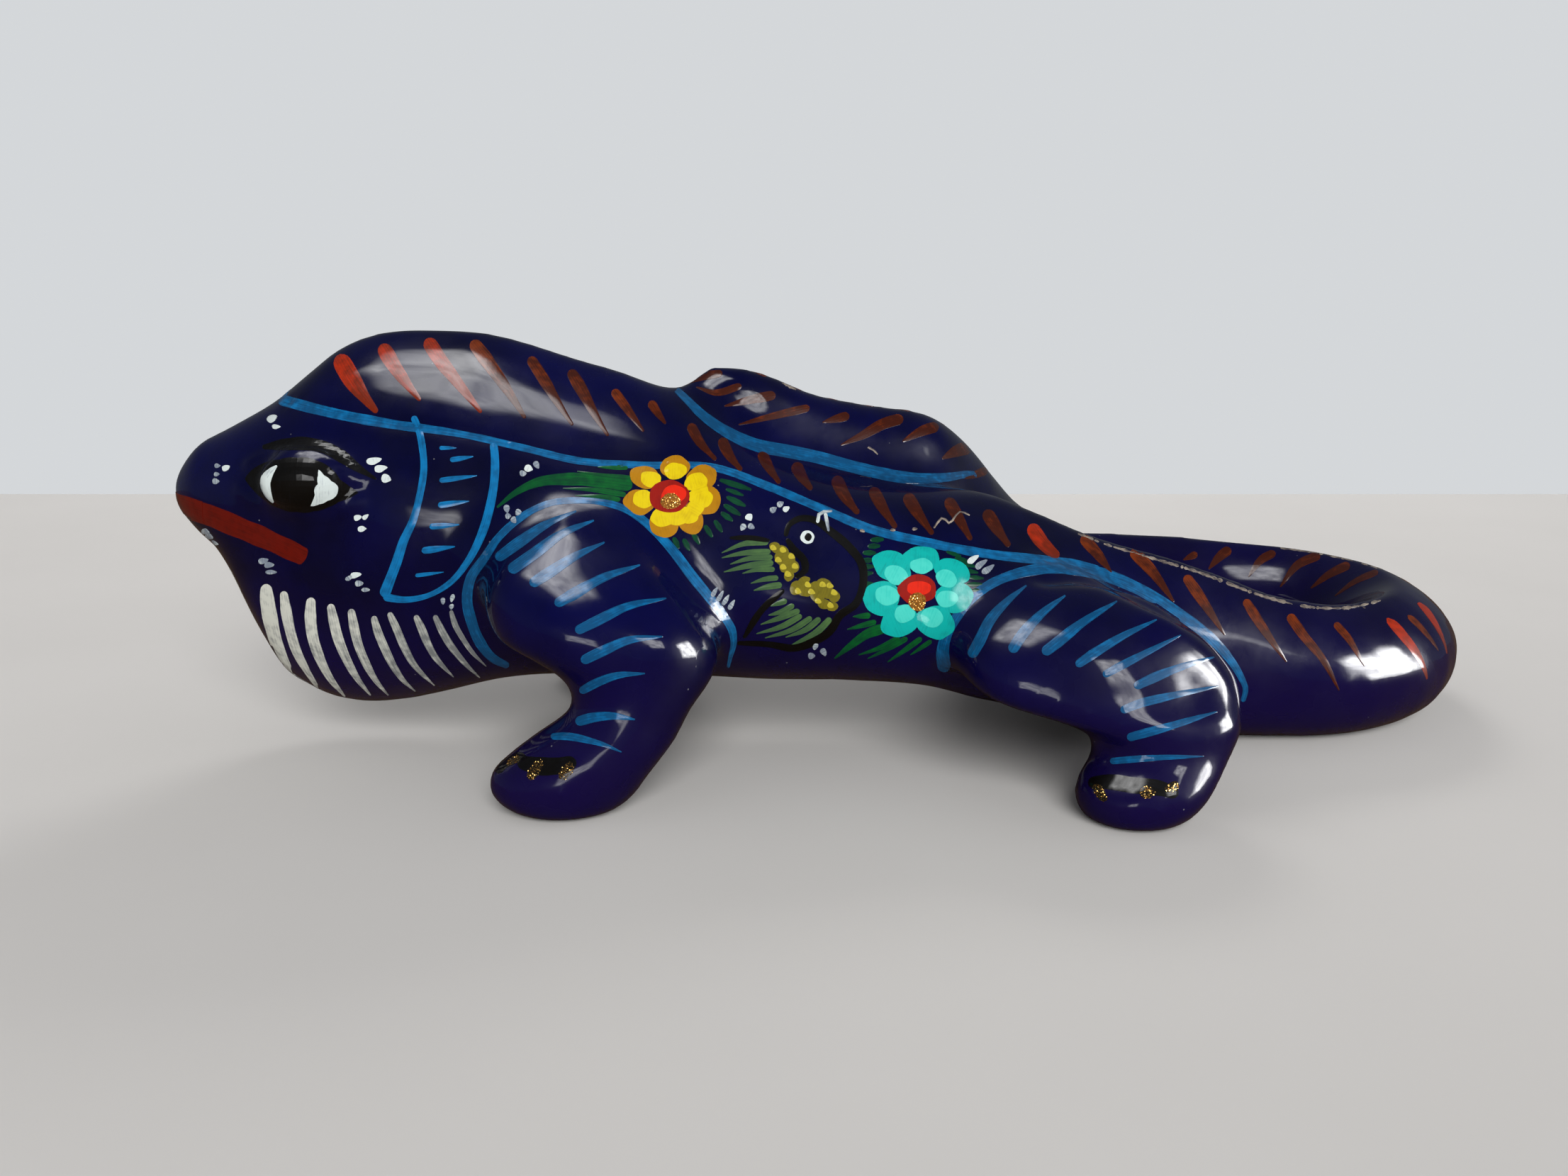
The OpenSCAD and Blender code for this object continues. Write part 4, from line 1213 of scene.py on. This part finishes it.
flake_radius, flake_thickness = 0.00016, 0.00004
flake_seed = 7
bands, drops = new_sheet(), new_sheet()
strokes(bands, front_band, band_shape, dry=0.9)
strokes(bands, hind_band, band_shape, shift=far_haunch_shift, dry=0.9)
dabs(drops, front_drops, layer=1, wet=0.1)
dabs(drops, hind_drops, layer=1, wet=0.1, shift=far_haunch_shift)
dabs(drops, heart_glitter, layer=5, wet=1.3)
paint_piece("paw_bands", bands, black_paint)
glue_paint = brushed("gold_glue", full=(0.30, 0.105, 0.008, 1), thin=(0.012, 0.008, 0.004, 1), cover=0.8)
glue = paint_piece("glitter_drops", drops, glue_paint)
leaf_gold, tree, shader = new_material("gold_flake", Metallic=1.0)
cells = add_node(tree, "ShaderNodeVectorMath", own_place(tree), flake_cell, operation="SNAP")
tints = add_node(tree, "ShaderNodeTexWhiteNoise", cells)
feed(tree, shader.inputs["Roughness"], map_range(tree, tints, 0.0, 1.0, 0.12, 0.35))
feed(tree, shader.inputs["Base Color"], blend_colours(tree, tints, flake_gold, flake_brown))


def glitter_tree():
    """Geometry Nodes tree that shakes flakes on the wet drops, each lying at its own slant."""
    tree, given, identifiers = new_group(
        "shaken_glitter", "GeometryNodeTree",
        {"Drops": "Geometry", "Density": "Float", "Radius": "Float", "Thickness": "Float", "Seed": "Int",
         "Gold": "Material"},
        {"Flakes": "Geometry"},
    )
    lift = add_node(tree, "GeometryNodeInputNamedAttribute", data_type="FLOAT", Name="lift")
    on_top = add_node(
        tree, "FunctionNodeCompare", data_type="FLOAT", operation="GREATER_THAN", A=lift, B=0.0
    )
    strewn = add_node(
        tree, "GeometryNodeDistributePointsOnFaces", given["Drops"], on_top,
        Density=given["Density"], Seed=given["Seed"],
    )
    flake = add_node(
        tree, "GeometryNodeMeshCylinder", Vertices=6, Radius=given["Radius"], Depth=given["Thickness"]
    )
    slant = add_node(
        tree, "FunctionNodeRandomValue", (-flake_slant, -flake_slant, 0.0),
        (flake_slant, flake_slant, flake_turn), data_type="FLOAT_VECTOR", Seed=given["Seed"],
    )
    tilted = add_node(
        tree, "FunctionNodeRotateRotation", strewn.outputs["Rotation"], slant, rotation_space="LOCAL"
    )
    put = add_node(tree, "GeometryNodeInstanceOnPoints", strewn, Instance=flake, Rotation=tilted)
    real = add_node(tree, "GeometryNodeRealizeInstances", put)
    gilded = add_node(tree, "GeometryNodeSetMaterial", real, Material=given["Gold"])
    add_node(tree, "NodeGroupOutput", Flakes=gilded)
    return tree, identifiers


flakes = put_in_scene("glitter_flakes", glue.data.copy())
flakes.data = worked(
    flakes, *glitter_tree(), Density=flakes_per_m2, Radius=flake_radius, Thickness=flake_thickness,
    Seed=flake_seed, Gold=leaf_gold,
)
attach(flakes, "root")


# Worn ridges
# Handling has rubbed the paint off the seam along the top of the tail and off the highest part of
# its end, down to the sandy clay, in a broken, grainy line, and scratched the back here and there.
tail_wear = (
    1519, 752, 1560, 768, 1600, 780, 1640, 792, 1684, 805, 1720, 818, 1758, 833, 1785, 842, 1811, 849,
    1832, 854, 1853, 857, 1880, 858, 1905, 857, 1925, 853, 1948, 847,
)
far_wear = (1800, 772, 1852, 779, 1900, 789, 1952, 803)
lap_wear = (1060, 523, 1092, 533, 1123, 550)
scratches = [
    (3, 1317, 745, 1331, 731, 1338, 738, 1355, 722, 1368, 727), (3, 1224, 631, 1231, 634, 1238, 641),
    (4, 1213, 748, 1220, 750), (4, 1256, 748, 1263, 748), (4, 1287, 747, 1294, 746),
]
wear_paint = brushed("worn_clay", full=(0.55, 0.46, 0.36, 1), thin=(0.05, 0.04, 0.05, 1), cover=0.6)
wear = new_sheet()
chance = np.random.default_rng(7)
for line, count, widest in ((tail_wear, 120, 5.5), (far_wear, 26, 4.0), (lap_wear, 18, 6.0)):
    marks = np.sort(chance.random(count))
    starts, length = curve_through(line, marks)
    stops, _ = curve_through(line, marks + chance.uniform(4, 13, count) / length)
    for start, stop, width in zip(starts, stops, chance.uniform(1.8, widest, count)):
        if np.linalg.norm(stop - start) > 3:
            strokes((wear, None), [(width, *start, *stop)], (0.6, 1, 0.5), dry=1)
strokes((wear, None), scratches, (1, 1, 0.6), layer=1, dry=1)
paint_piece("worn_ridges", wear, wear_paint)


# Table and light
# A plain pale table top that ends before a pale wall, in soft daylight from the front. The varnish shows
# windows overhead, in front and on the right, the dim room round about and a warm, darker table.
table_dark, table_light = (0.74, 0.72, 0.69, 1), (0.79, 0.77, 0.74, 1)
table_seen_in_varnish = (0.10, 0.062, 0.042, 1)
wall_colour = (0.66, 0.68, 0.70, 1)
room_low, room_high = (0.085, 0.09, 0.10, 1), (0.050, 0.055, 0.068, 1)
soft_daylight = (0.30, 0.30, 0.31, 1)
pane_edge = 0.22
pane_clouds = 4.0
lit_point = Vector((0, 0, 0.05))
table_back, table_end = 0.417, 4
table_corners = [(-1, -table_end), (1, -table_end), (1, table_back), (-1, table_back)]
floor = put_in_scene("floor", bpy.data.meshes.new("floor"))
floor.data.from_pydata([(side * table_end, y, 0) for side, y in table_corners], [], [(0, 1, 2, 3)])
table, tree, shader = new_material("pale_table", Roughness=0.75, Specular_IOR_Level=0.0)
pale = blend_colours(tree, noise_on(tree, own_place(tree), 9.0, 4.0), table_dark, table_light)
glossy = add_node(tree, "ShaderNodeLightPath").outputs["Is Glossy Ray"]
feed(tree, shader.inputs["Base Color"], blend_colours(tree, glossy, pale, table_seen_in_varnish))
floor.data.materials.append(table)


def softbox(name, place, width, height, watts, lights=True, shows=True):
    """Cloudy, soft-edged lamp turned to the figure, which lights it, shows in its varnish or both."""
    lamp = bpy.data.lights.new(name, "AREA")
    lamp.shape = "RECTANGLE"
    lamp.size, lamp.size_y = width, height
    lamp.energy = watts
    lamp.use_nodes = True
    tree = lamp.node_tree
    pane = add_node(tree, "ShaderNodeNewGeometry").outputs["Parametric"]
    spots = add_node(tree, "ShaderNodeSeparateXYZ", pane)
    bright = map_range(tree, noise_on(tree, pane, pane_clouds, 4.0), 0.35, 0.65, 0.5, 1.2)
    for axis in ("X", "Y"):
        to_edge = calculate(tree, "PINGPONG", spots.outputs[axis], 0.5)
        fade = map_range(tree, to_edge, 0.0, pane_edge, interpolation_type="SMOOTHSTEP")
        bright = calculate(tree, "MULTIPLY", bright, fade)
    feed(tree, tree.nodes["Emission"].inputs["Strength"], bright)
    holder = put_in_scene(name, lamp)
    holder.location = place
    holder.rotation_euler = (lit_point - Vector(place)).to_track_quat("-Z", "Y").to_euler()
    holder.visible_camera = False
    holder.visible_diffuse = lights
    holder.visible_glossy = shows


softbox("overhead_window", (-0.28, -0.20, 1.05), 0.85, 0.62, 14, lights=False)
softbox("right_window", (0.975, -0.355, 0.30), 0.70, 0.70, 57, lights=False)
softbox("front_window", (0.523, -0.984, 0.70), 0.30, 0.42, 3.5, lights=False)
softbox("room_window", (-0.34, -1.15, 0.20), 0.50, 0.30, 2.6, lights=False)
softbox("back_fill", (0.10, 1.00, 0.85), 0.60, 0.35, 6, shows=False)
daylight = bpy.data.lights.new("daylight", "SUN")
daylight.energy = 2.2
daylight.angle = math.radians(40)
sky = put_in_scene("daylight", daylight)
sky.rotation_euler = (math.radians(58), 0, math.radians(12))
sky.visible_glossy = False
world = bpy.data.worlds.new("room")
scene.world = world
world.use_nodes = True
tree = world.node_tree
direction = add_node(tree, "ShaderNodeTexCoord").outputs["Generated"]
upward = add_node(tree, "ShaderNodeSeparateXYZ", direction).outputs["Z"]
fade = map_range(tree, upward, 0.10, 0.55, interpolation_type="SMOOTHSTEP")
ray = add_node(tree, "ShaderNodeLightPath").outputs
room = blend_colours(tree, fade, room_low, room_high)
lit = blend_colours(tree, ray["Is Diffuse Ray"], room, soft_daylight)
seen = blend_colours(tree, ray["Is Camera Ray"], lit, wall_colour)
feed(tree, tree.nodes["Background"].inputs["Color"], seen)
scene.view_settings.view_transform = "Standard"
